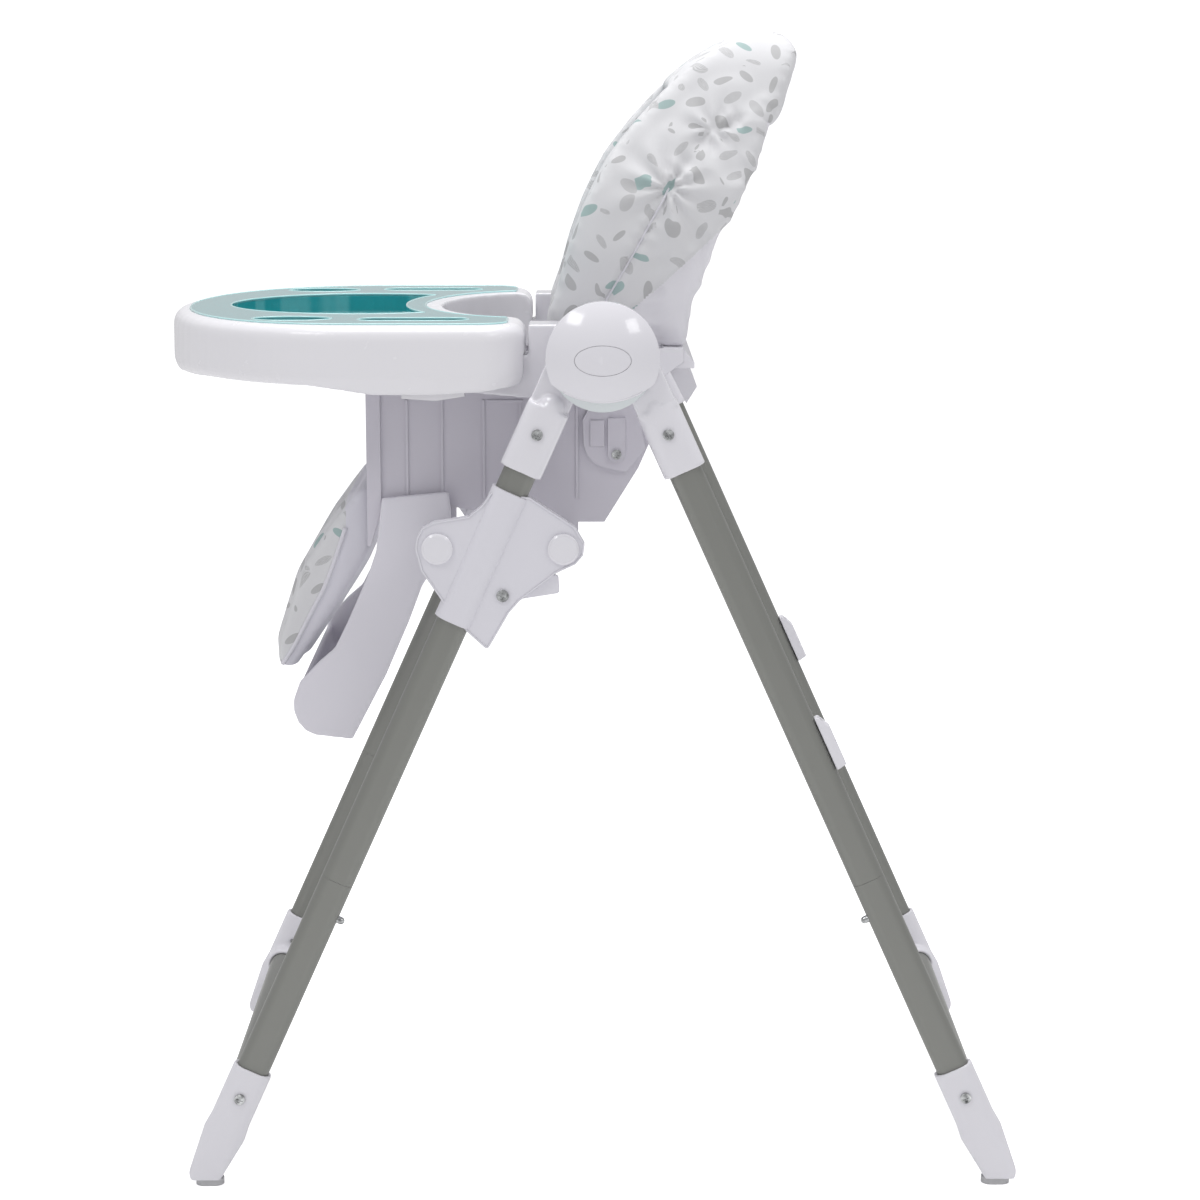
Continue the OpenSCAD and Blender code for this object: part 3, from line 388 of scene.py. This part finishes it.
LINER_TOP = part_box("tray_insert")[1].z
WHITE = (0.76, 0.75, 0.79)
FINISHES = {
    "grey_tube": moulded("grey_tube", (0.235, 0.238, 0.22), 0.42, edge=0.0004, grain=1500.0, depth=0.06,
                         drift=0.05, edge_colour=(0.5, 0.5, 0.5), Metallic=0.35, Coat_Weight=0.15,
                         Coat_Roughness=0.3),
    "foot_plastic": moulded("foot_plastic", (0.74, 0.73, 0.77), 0.4, edge=0.0012),
    "sole_rubber": moulded("sole_rubber", (0.5, 0.5, 0.51), 0.75, depth=0.3, grain=500.0),
    "white_gloss": moulded("white_gloss", WHITE, 0.14, depth=0.03, Coat_Weight=0.35, Coat_Roughness=0.06),
    "badge": moulded("badge", WHITE, 0.2, depth=0.03, edge=0.0003),
    "button_plastic": moulded("button_plastic", (0.66, 0.70, 0.71), 0.3),
    "zinc_steel": moulded("zinc_steel", (0.46, 0.47, 0.47), 0.16, edge=0.0005, grain=2500.0, drift=3.2,
                          cloud=190.0, Metallic=1.0),
    "axle_steel": moulded("axle_steel", (0.2, 0.2, 0.2), 0.35, Metallic=1.0, grain=2500.0),
    "slider_plastic": moulded("slider_plastic", (0.72, 0.71, 0.76), 0.3, edge=0.0009),
    # painted shade: the shell is the same white plastic, made darker to stand for the shade under the tray
    "shell_plastic": moulded("shell_plastic", (0.62, 0.60, 0.66), 0.42),
    "back_plastic": moulded("back_plastic", WHITE, 0.36),
    "buckle_plastic": moulded("buckle_plastic", (0.05, 0.052, 0.055), 0.38, depth=0.2),
    "footrest_plastic": moulded("footrest_plastic", (0.70, 0.685, 0.74), 0.38),
    "tray_plastic": moulded("tray_plastic", (0.79, 0.78, 0.81), 0.26, Coat_Weight=0.2, Coat_Roughness=0.12),
    "insert_plastic": insert_plastic(),
    "insert_lip": moulded("insert_lip", (0.50, 0.77, 0.77), 0.12, Coat_Weight=0.5, Coat_Roughness=0.05),
    "printed_fabric": cloth("printed_fabric", (0.70, 0.70, 0.715), True, sheen=0.06),
    "lining_fabric": cloth("lining_fabric", (0.72, 0.71, 0.77), False),
    "piping_fabric": cloth("piping_fabric", (0.74, 0.73, 0.78), False, thread=7000.0),
    "webbing": cloth("webbing", (0.30, 0.315, 0.325), False, thread=2600.0, depth=0.6, roughness=0.9),
    "thread": cloth("thread", (0.70, 0.70, 0.72), False, thread=9000.0),
}


def dress_cad_nodes():
    """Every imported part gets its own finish, by the name of its material slot."""
    for piece in NODES.values():
        for k, old in enumerate(piece.data.materials):
            if old and old.name.split(".")[0] in FINISHES:
                piece.data.materials[k] = FINISHES[old.name.split(".")[0]]


def ease(nodes, voxel, rounds):
    """Rounds the edges of a moulded part, as its mould has them."""
    for name in nodes:
        piece = NODES[name]
        melt = piece.modifiers.new("mould", "REMESH")
        melt.mode, melt.voxel_size, melt.use_smooth_shade = "VOXEL", voxel, True
        calm = piece.modifiers.new("calm", "SMOOTH")
        calm.factor, calm.iterations = 0.5, rounds


# ---- Mesh work ---------------------------------------------------------------------

def add_piece(name, mesh, body, finish):
    """A piece of the visual model, with its finish, riding on its body."""
    made = bpy.data.objects.new(name, mesh)
    scene.collection.objects.link(made)
    if not mesh.materials:
        mesh.materials.append(FINISHES[finish])
    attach(made, body)
    return made


def points_of(mesh):
    found = np.empty(len(mesh.vertices) * 3, np.float32)
    mesh.vertices.foreach_get("co", found)
    return found.reshape(-1, 3).astype(float)


def normals_of(mesh):
    found = np.empty(len(mesh.vertices) * 3, np.float32)
    mesh.vertices.foreach_get("normal", found)
    return found.reshape(-1, 3).astype(float)


def set_points(mesh, points):
    mesh.vertices.foreach_set("co", points.astype(np.float32).ravel())
    mesh.update()


def relax(mesh, rounds, share=0.5):
    """Moves each point towards the middle of its neighbours."""
    points = points_of(mesh)
    edges = np.empty(len(mesh.edges) * 2, np.int32)
    mesh.edges.foreach_get("vertices", edges)
    a, b = edges.reshape(-1, 2).T
    count = np.bincount(np.concatenate([a, b]), minlength=len(points))[:, None].clip(1)
    for _ in range(rounds):
        total = np.zeros_like(points)
        np.add.at(total, a, points[b])
        np.add.at(total, b, points[a])
        points += share * (total / count - points)
    set_points(mesh, points)


def remeshed(node, voxel, shrink):
    """A closed, even mesh of a packed soft solid, drawn in a little."""
    start = NODES[node]
    holder = bpy.data.objects.new(node + "_start", start.data.copy())
    scene.collection.objects.link(holder)
    melt = holder.modifiers.new("even", "REMESH")
    melt.mode, melt.voxel_size = "VOXEL", voxel
    found = holder.evaluated_get(bpy.context.evaluated_depsgraph_get())
    mesh = bpy.data.meshes.new_from_object(found)
    bpy.data.objects.remove(holder)
    mesh.materials.clear()
    set_points(mesh, points_of(mesh) - shrink * normals_of(mesh))
    return mesh


def puff(mesh, cap):
    """Blows the cover up round its filling as sewn cloth, and limits how far it may swell."""
    pressure, frames = 4.0, 20
    least_out, sideways_share, quick_share = 0.0015, 0.4, 0.6
    rest = points_of(mesh)
    holder = bpy.data.objects.new("swelling", mesh)
    scene.collection.objects.link(holder)
    cover = holder.modifiers.new("cover", "CLOTH")
    cover.settings.quality = 4
    cover.settings.mass = 0.2
    cover.settings.use_pressure = True
    cover.settings.uniform_pressure_force = pressure
    cover.settings.tension_stiffness = cover.settings.compression_stiffness = 12
    cover.settings.bending_stiffness = 0.4
    cover.settings.effector_weights.gravity = 0.0
    cover.point_cache.frame_start, cover.point_cache.frame_end = 1, frames
    for frame_number in range(1, frames + 1):
        scene.frame_set(frame_number)
    found = holder.evaluated_get(bpy.context.evaluated_depsgraph_get())
    swollen = points_of(found.data)
    bpy.data.objects.remove(holder)
    scene.frame_set(1)
    # the filling stops the cover from sinking, and the cap from swelling too far
    normals = normals_of(mesh)
    step = swollen - rest
    out = (step * normals).sum(axis=1, keepdims=True)
    along = step - out * normals
    size = np.linalg.norm(along, axis=1, keepdims=True).clip(1e-9)
    along *= np.minimum(1.0, sideways_share * cap / size)
    set_points(mesh, rest + along + normals * np.clip(out, least_out, cap))


def surface_of(mesh):
    """A mesh as a tree of faces that rays and nearest points can be asked of."""
    corners = [v.co.copy() for v in mesh.vertices]
    return BVHTree.FromPolygons(corners, [tuple(face.vertices) for face in mesh.polygons])


def held_near(mesh, node, least, most):
    """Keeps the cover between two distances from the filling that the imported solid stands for."""
    filling = surface_of(NODES[node].data)
    points = points_of(mesh)
    for k, point in enumerate(points):
        at, normal, _, _ = filling.find_nearest(Vector(point))
        away = Vector(point) - at
        off = away.length if away.dot(normal) > 0 else -away.length
        if off < least or off > most:
            points[k] = at + normal * min(max(off, least), most)
    set_points(mesh, points)


def kept_inside(points, node, shell):
    """Holds the rear points of a cover in front of the hard shell that backs its filling."""
    gap, deep, least_share = 0.0015, 0.012, 0.4
    least_rearward, most_sideways = 0.5, 0.3
    filling, wall = surface_of(NODES[node].data), surface_of(NODES[shell].data)
    for k, point in enumerate(points):
        _, normal, _, _ = filling.find_nearest(Vector(point))
        if normal.y < least_rearward or abs(normal.x) > most_sideways:
            continue
        start = Vector(point) - normal * deep
        hit, _, _, run = wall.ray_cast(start, normal, deep + gap)
        if hit is not None:
            points[k] = start + normal * max(run - gap, deep * least_share)
    return points


def finer(mesh):
    """The mesh with each face split into four and rounded."""
    holder = bpy.data.objects.new("finer", mesh)
    scene.collection.objects.link(holder)
    split = holder.modifiers.new("split", "SUBSURF")
    split.levels = split.render_levels = 1
    made = bpy.data.meshes.new_from_object(holder.evaluated_get(bpy.context.evaluated_depsgraph_get()))
    bpy.data.objects.remove(holder)
    return made


def smooth_shaded(mesh):
    mesh.polygons.foreach_set("use_smooth", [True] * len(mesh.polygons))
    mesh.update()


def lay_threads(mesh, mirrored=True):
    """Thread lines that unroll the cloth round the piece's upright corners."""
    points = points_of(mesh)
    side = np.sign(points[:, 0]) if mirrored else 1.0
    lines = np.zeros_like(points)
    lines[:, 0] = points[:, 0] + side * points[:, 1]
    lines[:, 1] = points[:, 2] + 0.3 * points[:, 1]
    put = mesh.attributes.new("threads", "FLOAT_VECTOR", "POINT")
    put.data.foreach_set("vector", lines.astype(np.float32).ravel())


def spacing_along(path, points):
    """Distance of each point to a path of points, all in metres."""
    nearest = np.full(len(points), 1e9)
    for a, b in zip(path[:-1], path[1:]):
        a, b = np.array(a), np.array(b)
        run = b - a
        t = np.clip(((points - a) @ run) / (run @ run), 0, 1)
        nearest = np.minimum(nearest, np.linalg.norm(points - (a + t[:, None] * run), axis=1))
    return nearest


def even_path(path, step):
    """The same line with points a step apart, rounded at its corners."""
    path = [Vector(p) for p in path]
    for _ in range(2):
        rounded = [path[0]]
        for a, b in zip(path[:-1], path[1:]):
            rounded += [a.lerp(b, 0.25), a.lerp(b, 0.75)]
        path = rounded + [path[-1]]
    made, left = [path[0]], step
    for a, b in zip(path[:-1], path[1:]):
        run = (b - a).length
        while run >= left and run > 0:
            a = a.lerp(b, left / run)
            run = (b - a).length
            made.append(a)
            left = step
        left -= run
    return made + [path[-1]]


def tube(name, path, radius, body, finish, closed=False, sides=10):
    """A thin round bead along a path, such as piping or a moulded lip."""
    path = [Vector(p) for p in path]
    work = bmesh.new()
    rings = []
    count = len(path)
    over = Vector((0.3, 0.2, 1)).normalized()
    for k, at in enumerate(path):
        before = path[k - 1] if k or closed else at
        after = path[(k + 1) % count] if k + 1 < count or closed else at
        along = (after - before).normalized()
        side = along.cross(over)
        side = side.normalized() if side.length > 1e-6 else along.orthogonal().normalized()
        over = side.cross(along).normalized()
        rings.append([work.verts.new(at + radius * (side * math.cos(a) + over * math.sin(a)))
                      for a in (2 * math.pi * j / sides for j in range(sides))])
    for k in range(count if closed else count - 1):
        one, two = rings[k], rings[(k + 1) % count]
        for j in range(sides):
            work.faces.new((one[j], one[(j + 1) % sides], two[(j + 1) % sides], two[j]))
    if not closed:
        work.faces.new(list(reversed(rings[0])))
        work.faces.new(rings[-1])
    bmesh.ops.recalc_face_normals(work, faces=work.faces)
    mesh = bpy.data.meshes.new(name)
    work.to_mesh(mesh)
    work.free()
    smooth_shaded(mesh)
    lay_threads(mesh)
    return add_piece(name, mesh, body, finish)


def stitches(name, path, body):
    """A row of separate thread stitches along a path."""
    length, gap, radius, step = 0.0032, 0.0018, 0.0004, 0.0008
    path = even_path(path, step)
    work = bmesh.new()
    pitch = max(2, int((length + gap) / step))
    run = max(1, int(length / step))
    for k in range(0, len(path) - run, pitch):
        a, b = path[k], path[k + run]
        matrix = Matrix.Translation((a + b) / 2) @ (b - a).to_track_quat("Z", "Y").to_matrix().to_4x4()
        bmesh.ops.create_icosphere(work, subdivisions=1, radius=1.0, matrix=matrix @ Matrix.Diagonal(
            (radius, radius, (b - a).length * 0.55, 1)))
    mesh = bpy.data.meshes.new(name)
    work.to_mesh(mesh)
    work.free()
    smooth_shaded(mesh)
    lay_threads(mesh)
    return add_piece(name, mesh, body, "thread")


def ribbon(name, path, facing, body):
    """Flat woven webbing along a path: ribbed edges, a slight crown, closed all round.
    facing holds the way that its face looks at each point."""
    width, thick = 0.025, 0.0011
    section = [(-1.0, 0.2), (-0.94, 0.9), (-0.5, 1.0), (0.0, 1.0), (0.5, 1.0), (0.94, 0.9), (1.0, 0.2),
               (0.94, -0.4), (0.0, -0.5), (-0.94, -0.4)]
    work = bmesh.new()
    rings = []
    for k, at in enumerate(path):
        before, after = path[max(k - 1, 0)], path[min(k + 1, len(path) - 1)]
        along = (after - before).normalized()
        out = facing[k] - along * facing[k].dot(along)
        out.normalize()
        side = along.cross(out)
        rings.append([work.verts.new(at + side * u * width / 2 + out * v * thick) for u, v in section])
    for one, two in zip(rings[:-1], rings[1:]):
        for j in range(len(section)):
            work.faces.new((one[j], one[(j + 1) % len(section)], two[(j + 1) % len(section)], two[j]))
    work.faces.new(list(reversed(rings[0])))
    work.faces.new(rings[-1])
    bmesh.ops.recalc_face_normals(work, faces=work.faces)
    mesh = bpy.data.meshes.new(name)
    work.to_mesh(mesh)
    work.free()
    smooth_shaded(mesh)
    lay_threads(mesh, mirrored=False)
    return add_piece(name, mesh, body, "webbing")


def lip_paths(mesh, top):
    """Closed lines of sharp edges that lie on a piece's top face."""
    one_point, flat_angle, sharp_angle = 0.00002, 0.02, 0.6
    level_within, least_points = 0.0004, 8
    work = bmesh.new()
    work.from_mesh(mesh)
    bmesh.ops.remove_doubles(work, verts=work.verts, dist=one_point)
    bmesh.ops.dissolve_limit(work, angle_limit=flat_angle, verts=work.verts, edges=work.edges)
    rims = {}
    for edge in work.edges:
        on_top = all(abs(v.co.z - top) < level_within for v in edge.verts)
        if on_top and len(edge.link_faces) == 2 and edge.calc_face_angle(0) > sharp_angle:
            for v in edge.verts:
                rims.setdefault(v, []).append(edge.other_vert(v))
    paths = []
    while rims:
        start = next(iter(rims))
        path, here = [], start
        while here in rims:
            path.append(here.co.copy())
            onward = [v for v in rims.pop(here) if v in rims]
            if not onward:
                break
            here = onward[0]
        if len(path) > least_points:
            paths.append(path)
    work.free()
    return paths


# ---- Soft covers, straps and trim --------------------------------------------------

# Lines on the outer sides of the back. Gather and seam are points, slack and hem are Y against Z.
GATHER = [(0.14, 0.072, 0.908), (0.14, 0.090, 0.930), (0.14, 0.109, 0.958), (0.14, 0.138, 0.971)]
SEAM = [(0.14, 0.008, 0.790), (0.14, 0.013, 0.803), (0.145, 0.040, 0.848), (0.145, 0.058, 0.882),
        (0.145, 0.066, 0.896), (0.14, 0.072, 0.908)]
SLACK_Z = [0.79, 0.848, 0.906, 0.945, 0.976, 1.05]
SLACK_Y = [0.020, 0.045, 0.075, 0.098, 0.132, 0.180]
HEM_Y = [0.036, 0.059, 0.092, 0.12]
HEM_Z = [0.798, 0.817, 0.847, 0.872]
HEAD_Z = 1.000


def outer_sides(points, normals):
    """1 on the outer sides of the back, easing to 0 on its front, its rear and its middle."""
    sideways = np.clip((np.abs(points[:, 0]) - 0.06) / 0.03, 0, 1)
    return sideways * np.clip((np.abs(normals[:, 0]) - 0.35) / 0.35, 0, 1)


def folds(points, normals, at, reach, count, depth, turn):
    """Creases that run out from a gathered point on the outer sides, as (Y, Z) in metres."""
    plain_middle = 0.012
    dy, dz = points[:, 1] - at[0], points[:, 2] - at[1]
    far = np.hypot(dy, dz)
    wave = np.cos(count * np.arctan2(dz, dy) + turn) * np.clip(far / plain_middle, 0, 1)
    size = depth * np.exp(-(far / reach) ** 1.5) * outer_sides(points, normals)
    return points + normals * (size * wave)[:, None]


def puckers(points, normals, path, pitch, reach, depth, outer):
    """Small pleats across a gathered line on the outer sides, and the line itself drawn in."""
    drawn_in, drawn_width = 1.3, 0.0045
    uneven, uneven_per_metre = 3.0, 70.0
    flat = points.copy()
    flat[:, 0] = 0.0
    line = np.array([(0.0, y, z) for _, y, z in path])
    walked = np.concatenate([[0], np.cumsum(np.linalg.norm(np.diff(line, axis=0), axis=1))])
    near, place = np.full(len(points), 1e9), np.zeros(len(points))
    for k in range(len(line) - 1):
        run = line[k + 1] - line[k]
        t = np.clip(((flat - line[k]) @ run) / (run @ run), 0, 1)
        gap = np.linalg.norm(flat - (line[k] + t[:, None] * run), axis=1)
        closer = gap < near
        near[closer] = gap[closer]
        place[closer] = (walked[k] + t * (walked[k + 1] - walked[k]))[closer]
    wave = np.cos(2 * math.pi * place / pitch + uneven * np.sin(place * uneven_per_metre))
    size = depth * wave * np.exp(-(near / reach) ** 2)
    size -= drawn_in * depth * np.exp(-(near / drawn_width) ** 2)
    return points + normals * (size * outer)[:, None]


def slack_cloth(points):
    """How far loose cloth stands out at each point: broad swells and sharper creases."""
    return np.array([noise.noise(Vector(p) * 24) * 0.7 + (0.5 - abs(noise.noise(Vector(p) * 38))) * 0.5
                     for p in points])


def spacing_yz(path, points):
    """Distance of each point to a path in side view."""
    flat = points.copy()
    flat[:, 0] = 0.0
    return spacing_along([(0.0, y, z) for _, y, z in path], flat)


def back_cover():
    """The cover of the back, gathered at its sides, slack behind, and hemmed above the shell."""
    mesh = remeshed("backrest_cushion", 0.005, shrink=0.001)
    relax(mesh, 8)
    puff(mesh, 0.005)
    relax(mesh, 2)
    held_near(mesh, "backrest_cushion", 0.0008, 0.006)
    relax(mesh, 3)
    mesh = finer(mesh)
    points, normals = points_of(mesh), normals_of(mesh)
    outer = outer_sides(points, normals)
    # slack cloth over the rear of the sides and behind the head
    rear = np.clip((points[:, 1] - np.interp(points[:, 2], SLACK_Z, SLACK_Y)) / 0.02, 0, 1)
    rear *= np.clip((HEAD_Z - points[:, 2]) / 0.025, 0, 1)
    slack_depth = 0.009
    points += normals * (slack_cloth(points) * rear * slack_depth)[:, None]
    points = puckers(points, normals, GATHER, pitch=0.014, reach=0.012, depth=0.0013, outer=outer)
    for at, reach, count, depth, turn in (((0.072, 0.908), 0.042, 9, 0.0030, 0.4),
                                          ((0.112, 0.960), 0.024, 7, 0.0026, 1.6)):
        points = folds(points, normals, at, reach, count, depth, turn)
    seam_depth, seam_width = 0.003, 0.0032
    near = spacing_yz(SEAM, points)
    points -= normals * (seam_depth * np.exp(-(near / seam_width) ** 2) * outer)[:, None]
    points = puckers(points, normals, SEAM, pitch=0.021, reach=0.009, depth=0.0010, outer=outer)
    # below the hem the sides are bare shell, lower by the padded cloth's thickness
    hem_ease = cloth_thickness = 0.004
    bare = outer * np.clip((np.interp(points[:, 1], HEM_Y, HEM_Z) - points[:, 2]) / hem_ease, 0, 1)
    bare *= points[:, 1] > HEM_Y[0]
    points -= normals * (bare * cloth_thickness)[:, None]
    points = kept_inside(points, "backrest_cushion", "backrest_shell")
    set_points(mesh, points)
    mesh.materials.append(FINISHES["printed_fabric"])
    mesh.materials.append(FINISHES["back_plastic"])
    for face in mesh.polygons:
        at = face.center
        below = at.y > HEM_Y[0] and at.z < np.interp(at.y, HEM_Y, HEM_Z) - 0.002
        face.material_index = 1 if below else 0
    smooth_shaded(mesh)
    lay_threads(mesh)
    cover = add_piece("backrest_cover", mesh, "backrest", "printed_fabric")
    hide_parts("backrest_cushion")
    return cover


def draped_path(tree, starts, aim, lift):
    """Where rays from the start points meet a surface, lifted off it, with the way the surface looks."""
    path, facing = [], []
    for start in starts:
        hit, normal, _, _ = tree.ray_cast(Vector(start), Vector(aim))
        if hit is not None:
            path.append(hit + normal * lift)
            facing.append(normal)
    return path, facing


def eased(path, facing, rounds=6):
    """A path with its small bumps taken out."""
    def calmed(values):
        return [(a + b * 2 + c) / 4 for a, b, c in zip(values, values[1:], values[2:])]

    for _ in range(rounds):
        path = [path[0]] + calmed(path) + [path[-1]]
        facing = [facing[0]] + [way.normalized() for way in calmed(facing)] + [facing[-1]]
    return path, facing


def strap_on(name, surface, starts, aim, body):
    """Webbing that lies on a cover where rays from the start points meet it."""
    path, facing = eased(*draped_path(surface, starts, aim, 0.001))
    return ribbon(name, path, facing, body)


def dress_back():
    """The back's cover, the piped and stitched seam down each side, and the shoulder straps."""
    surface = surface_of(back_cover().data)
    outside, seam_step = 0.22, 0.002
    strap_x, strap_foot, strap_rise, steps = 0.045, 0.79, 0.14, 40
    seam_lift, beside_seam, stitch_lift = 0.0002, 0.0045, 0.0004
    for side, word in SIDES:
        seam = [(side * outside, y, z) for _, y, z in even_path([Vector(p) for p in SEAM], seam_step)]
        path, facing = draped_path(surface, seam, (-side, 0, 0), seam_lift)
        path, facing = eased(path, facing, 2)
        tube("side_piping_" + word, path, 0.0011, "backrest", "piping_fabric")
        beside = [at + Vector((0, beside_seam, 0)) + out * stitch_lift for at, out in zip(path, facing)]
        stitches("side_seam_" + word, beside, "backrest")
        starts = [(side * strap_x, -0.3, strap_foot + strap_rise * k / steps) for k in range(steps + 1)]
        strap = strap_on("shoulder_strap_" + word, surface, starts, (0, 1, 0), "backrest")
        if side == 1:
            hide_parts("shoulder_straps")


def seat_pad():
    """The seat's cushion cover, pressed in under the buckle and sewn across in two places."""
    mesh = remeshed("seat_cushion", 0.005, shrink=0.001)
    relax(mesh, 8)
    puff(mesh, 0.004)
    mesh = finer(mesh)
    points, normals = points_of(mesh), normals_of(mesh)
    low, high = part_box("harness_buckle")
    centre = (low + high) / 2
    # the buckle presses into the pad
    press_radius, press_ease, seat_gap = 0.042, 0.014, 0.001
    near = np.hypot(points[:, 0] - centre.x, points[:, 1] - centre.y)
    under = np.clip((press_radius - near) / press_ease, 0, 1) * np.clip(normals[:, 2] / 0.3, 0, 1)
    points[:, 2] -= under * np.clip(points[:, 2] - low.z - seat_gap, 0, None)
    channel_depth = channel_width = 0.004
    sewn_across_at = (-0.135, -0.085)
    for y in sewn_across_at:
        line = np.abs(points[:, 1] - y)
        top = np.clip(normals[:, 2] - 0.6, 0, 0.4) / 0.4
        points[:, 2] -= channel_depth * np.exp(-(line / channel_width) ** 2) * top
    set_points(mesh, points)
    smooth_shaded(mesh)
    lay_threads(mesh)
    pad = add_piece("seat_pad", mesh, "seat_carriage", "printed_fabric")
    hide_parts("seat_cushion")
    return pad


def dress_seat():
    """The seat's cover, the lap straps from the buckle to each side, and the crotch strap."""
    surface = surface_of(seat_pad().data)
    above, down = 0.80, (0, 0, -1)
    buckle_y, beside_buckle, lap_reach, lap_steps = -0.040, 0.021, 0.112, 30
    for side, word in SIDES:
        starts = [(side * (beside_buckle + lap_reach * k / lap_steps), buckle_y, above)
                  for k in range(lap_steps + 1)]
        strap = strap_on("lap_strap_" + word, surface, starts, down, "seat_carriage")
        if side == 1:
            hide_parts("lap_harness")
    crotch_reach, crotch_steps = 0.070, 24
    starts = [(0.0, buckle_y - beside_buckle - crotch_reach * k / crotch_steps, above)
              for k in range(crotch_steps + 1)]
    strap_on("crotch_strap", surface, starts, down, "seat_carriage")


def calf_cover():
    """The calf pad's cover: printed in front, plain lining behind a piped edge on each side."""
    mesh = remeshed("calf_pad", 0.004, shrink=0.0015)
    relax(mesh, 8)
    puff(mesh, 0.005)
    mesh = finer(mesh)
    smooth_shaded(mesh)
    lay_threads(mesh)
    mesh.materials.append(FINISHES["printed_fabric"])
    mesh.materials.append(FINISHES["lining_fabric"])
    piping_y = [-0.225, -0.243, -0.258, -0.275, -0.288]
    piping_z = [0.597, 0.545, 0.518, 0.484, 0.466]
    for face in mesh.polygons:
        at = face.center
        face.material_index = 1 if at.y > np.interp(at.z, piping_z[::-1], piping_y[::-1]) else 0
    cover = add_piece("calf_cover", mesh, "seat_carriage", "printed_fabric")
    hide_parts("calf_pad")
    surface = surface_of(mesh)
    for side, word in SIDES:
        starts = even_path([(side * 0.3, y, z) for y, z in zip(piping_y, piping_z)], 0.002)
        path, facing = draped_path(surface, starts, (-side, 0, 0), 0.0004)
        path, facing = eased(path, facing, 3)
        tube("calf_piping_" + word, path, 0.0021, "seat_carriage", "piping_fabric")


def cover_lips():
    """The rolled lip along the curved lower edge of each hub cover, over the fold button."""
    low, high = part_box("hub_cover_left")
    radius, deep = (high.y - low.y) / 2, high.x - low.x
    centre_y, centre_z = (low.y + high.y) / 2, high.z - radius
    # the cover is part of a ball on a flat rim, cut along the arc of its lower edge
    flat_rim = 0.009
    ball = (radius ** 2 + (deep - flat_rim) ** 2) / (2 * (deep - flat_rim))
    arc_radius, arc_drop, half_length, steps = 0.075, 0.037, 0.034, 20
    sunk, raised = 0.0004, 0.0006
    for side, word in SIDES:
        path = []
        for k in range(2 * steps + 1):
            y = half_length * (k / steps - 1)
            z = arc_radius - arc_drop - math.sqrt(arc_radius ** 2 - y * y)
            out = low.x + deep - ball + math.sqrt(ball ** 2 - y * y - z * z)
            path.append((side * (out - sunk), centre_y + y, centre_z + z + raised))
        tube("cover_lip_" + word, path, 0.0014, "front_frame", "white_gloss")


def insert_lips():
    """The raised lips round the tray liner and round each of its pockets."""
    drop = Vector((0, 0, 0.0006))
    for k, path in enumerate(lip_paths(NODES["tray_insert"].data, LINER_TOP)):
        ring = [at - drop for at in path] + [path[0] - drop]
        tube("insert_lip_%d" % (k + 1), even_path(ring, 0.003)[:-1], 0.0010, "tray_insert", "insert_lip",
             closed=True, sides=8)


# ---- Build -------------------------------------------------------------------------

# How finely each moulded part is remelted to round its edges, and how often it is calmed
EASED_PARTS = [
    (["tray_base"], 0.0016, 16),
    (["tray_insert"], 0.0011, 3),
    (["front_hub_left", "front_hub_right", "rear_hub_left", "rear_hub_right"], 0.0012, 9),
    (["front_foot_left", "front_foot_right", "rear_foot_left", "rear_foot_right"], 0.0013, 6),
    (["footrest"], 0.0016, 9),
    (["armrest_left", "armrest_right"], 0.0014, 4),
    (["tray_hooks"], 0.0010, 4),
]

studio_camera()
studio()
dress_cad_nodes()
for names, fineness, rounds in EASED_PARTS:
    ease(names, fineness, rounds)
dress_back()
dress_seat()
calf_cover()
cover_lips()
insert_lips()
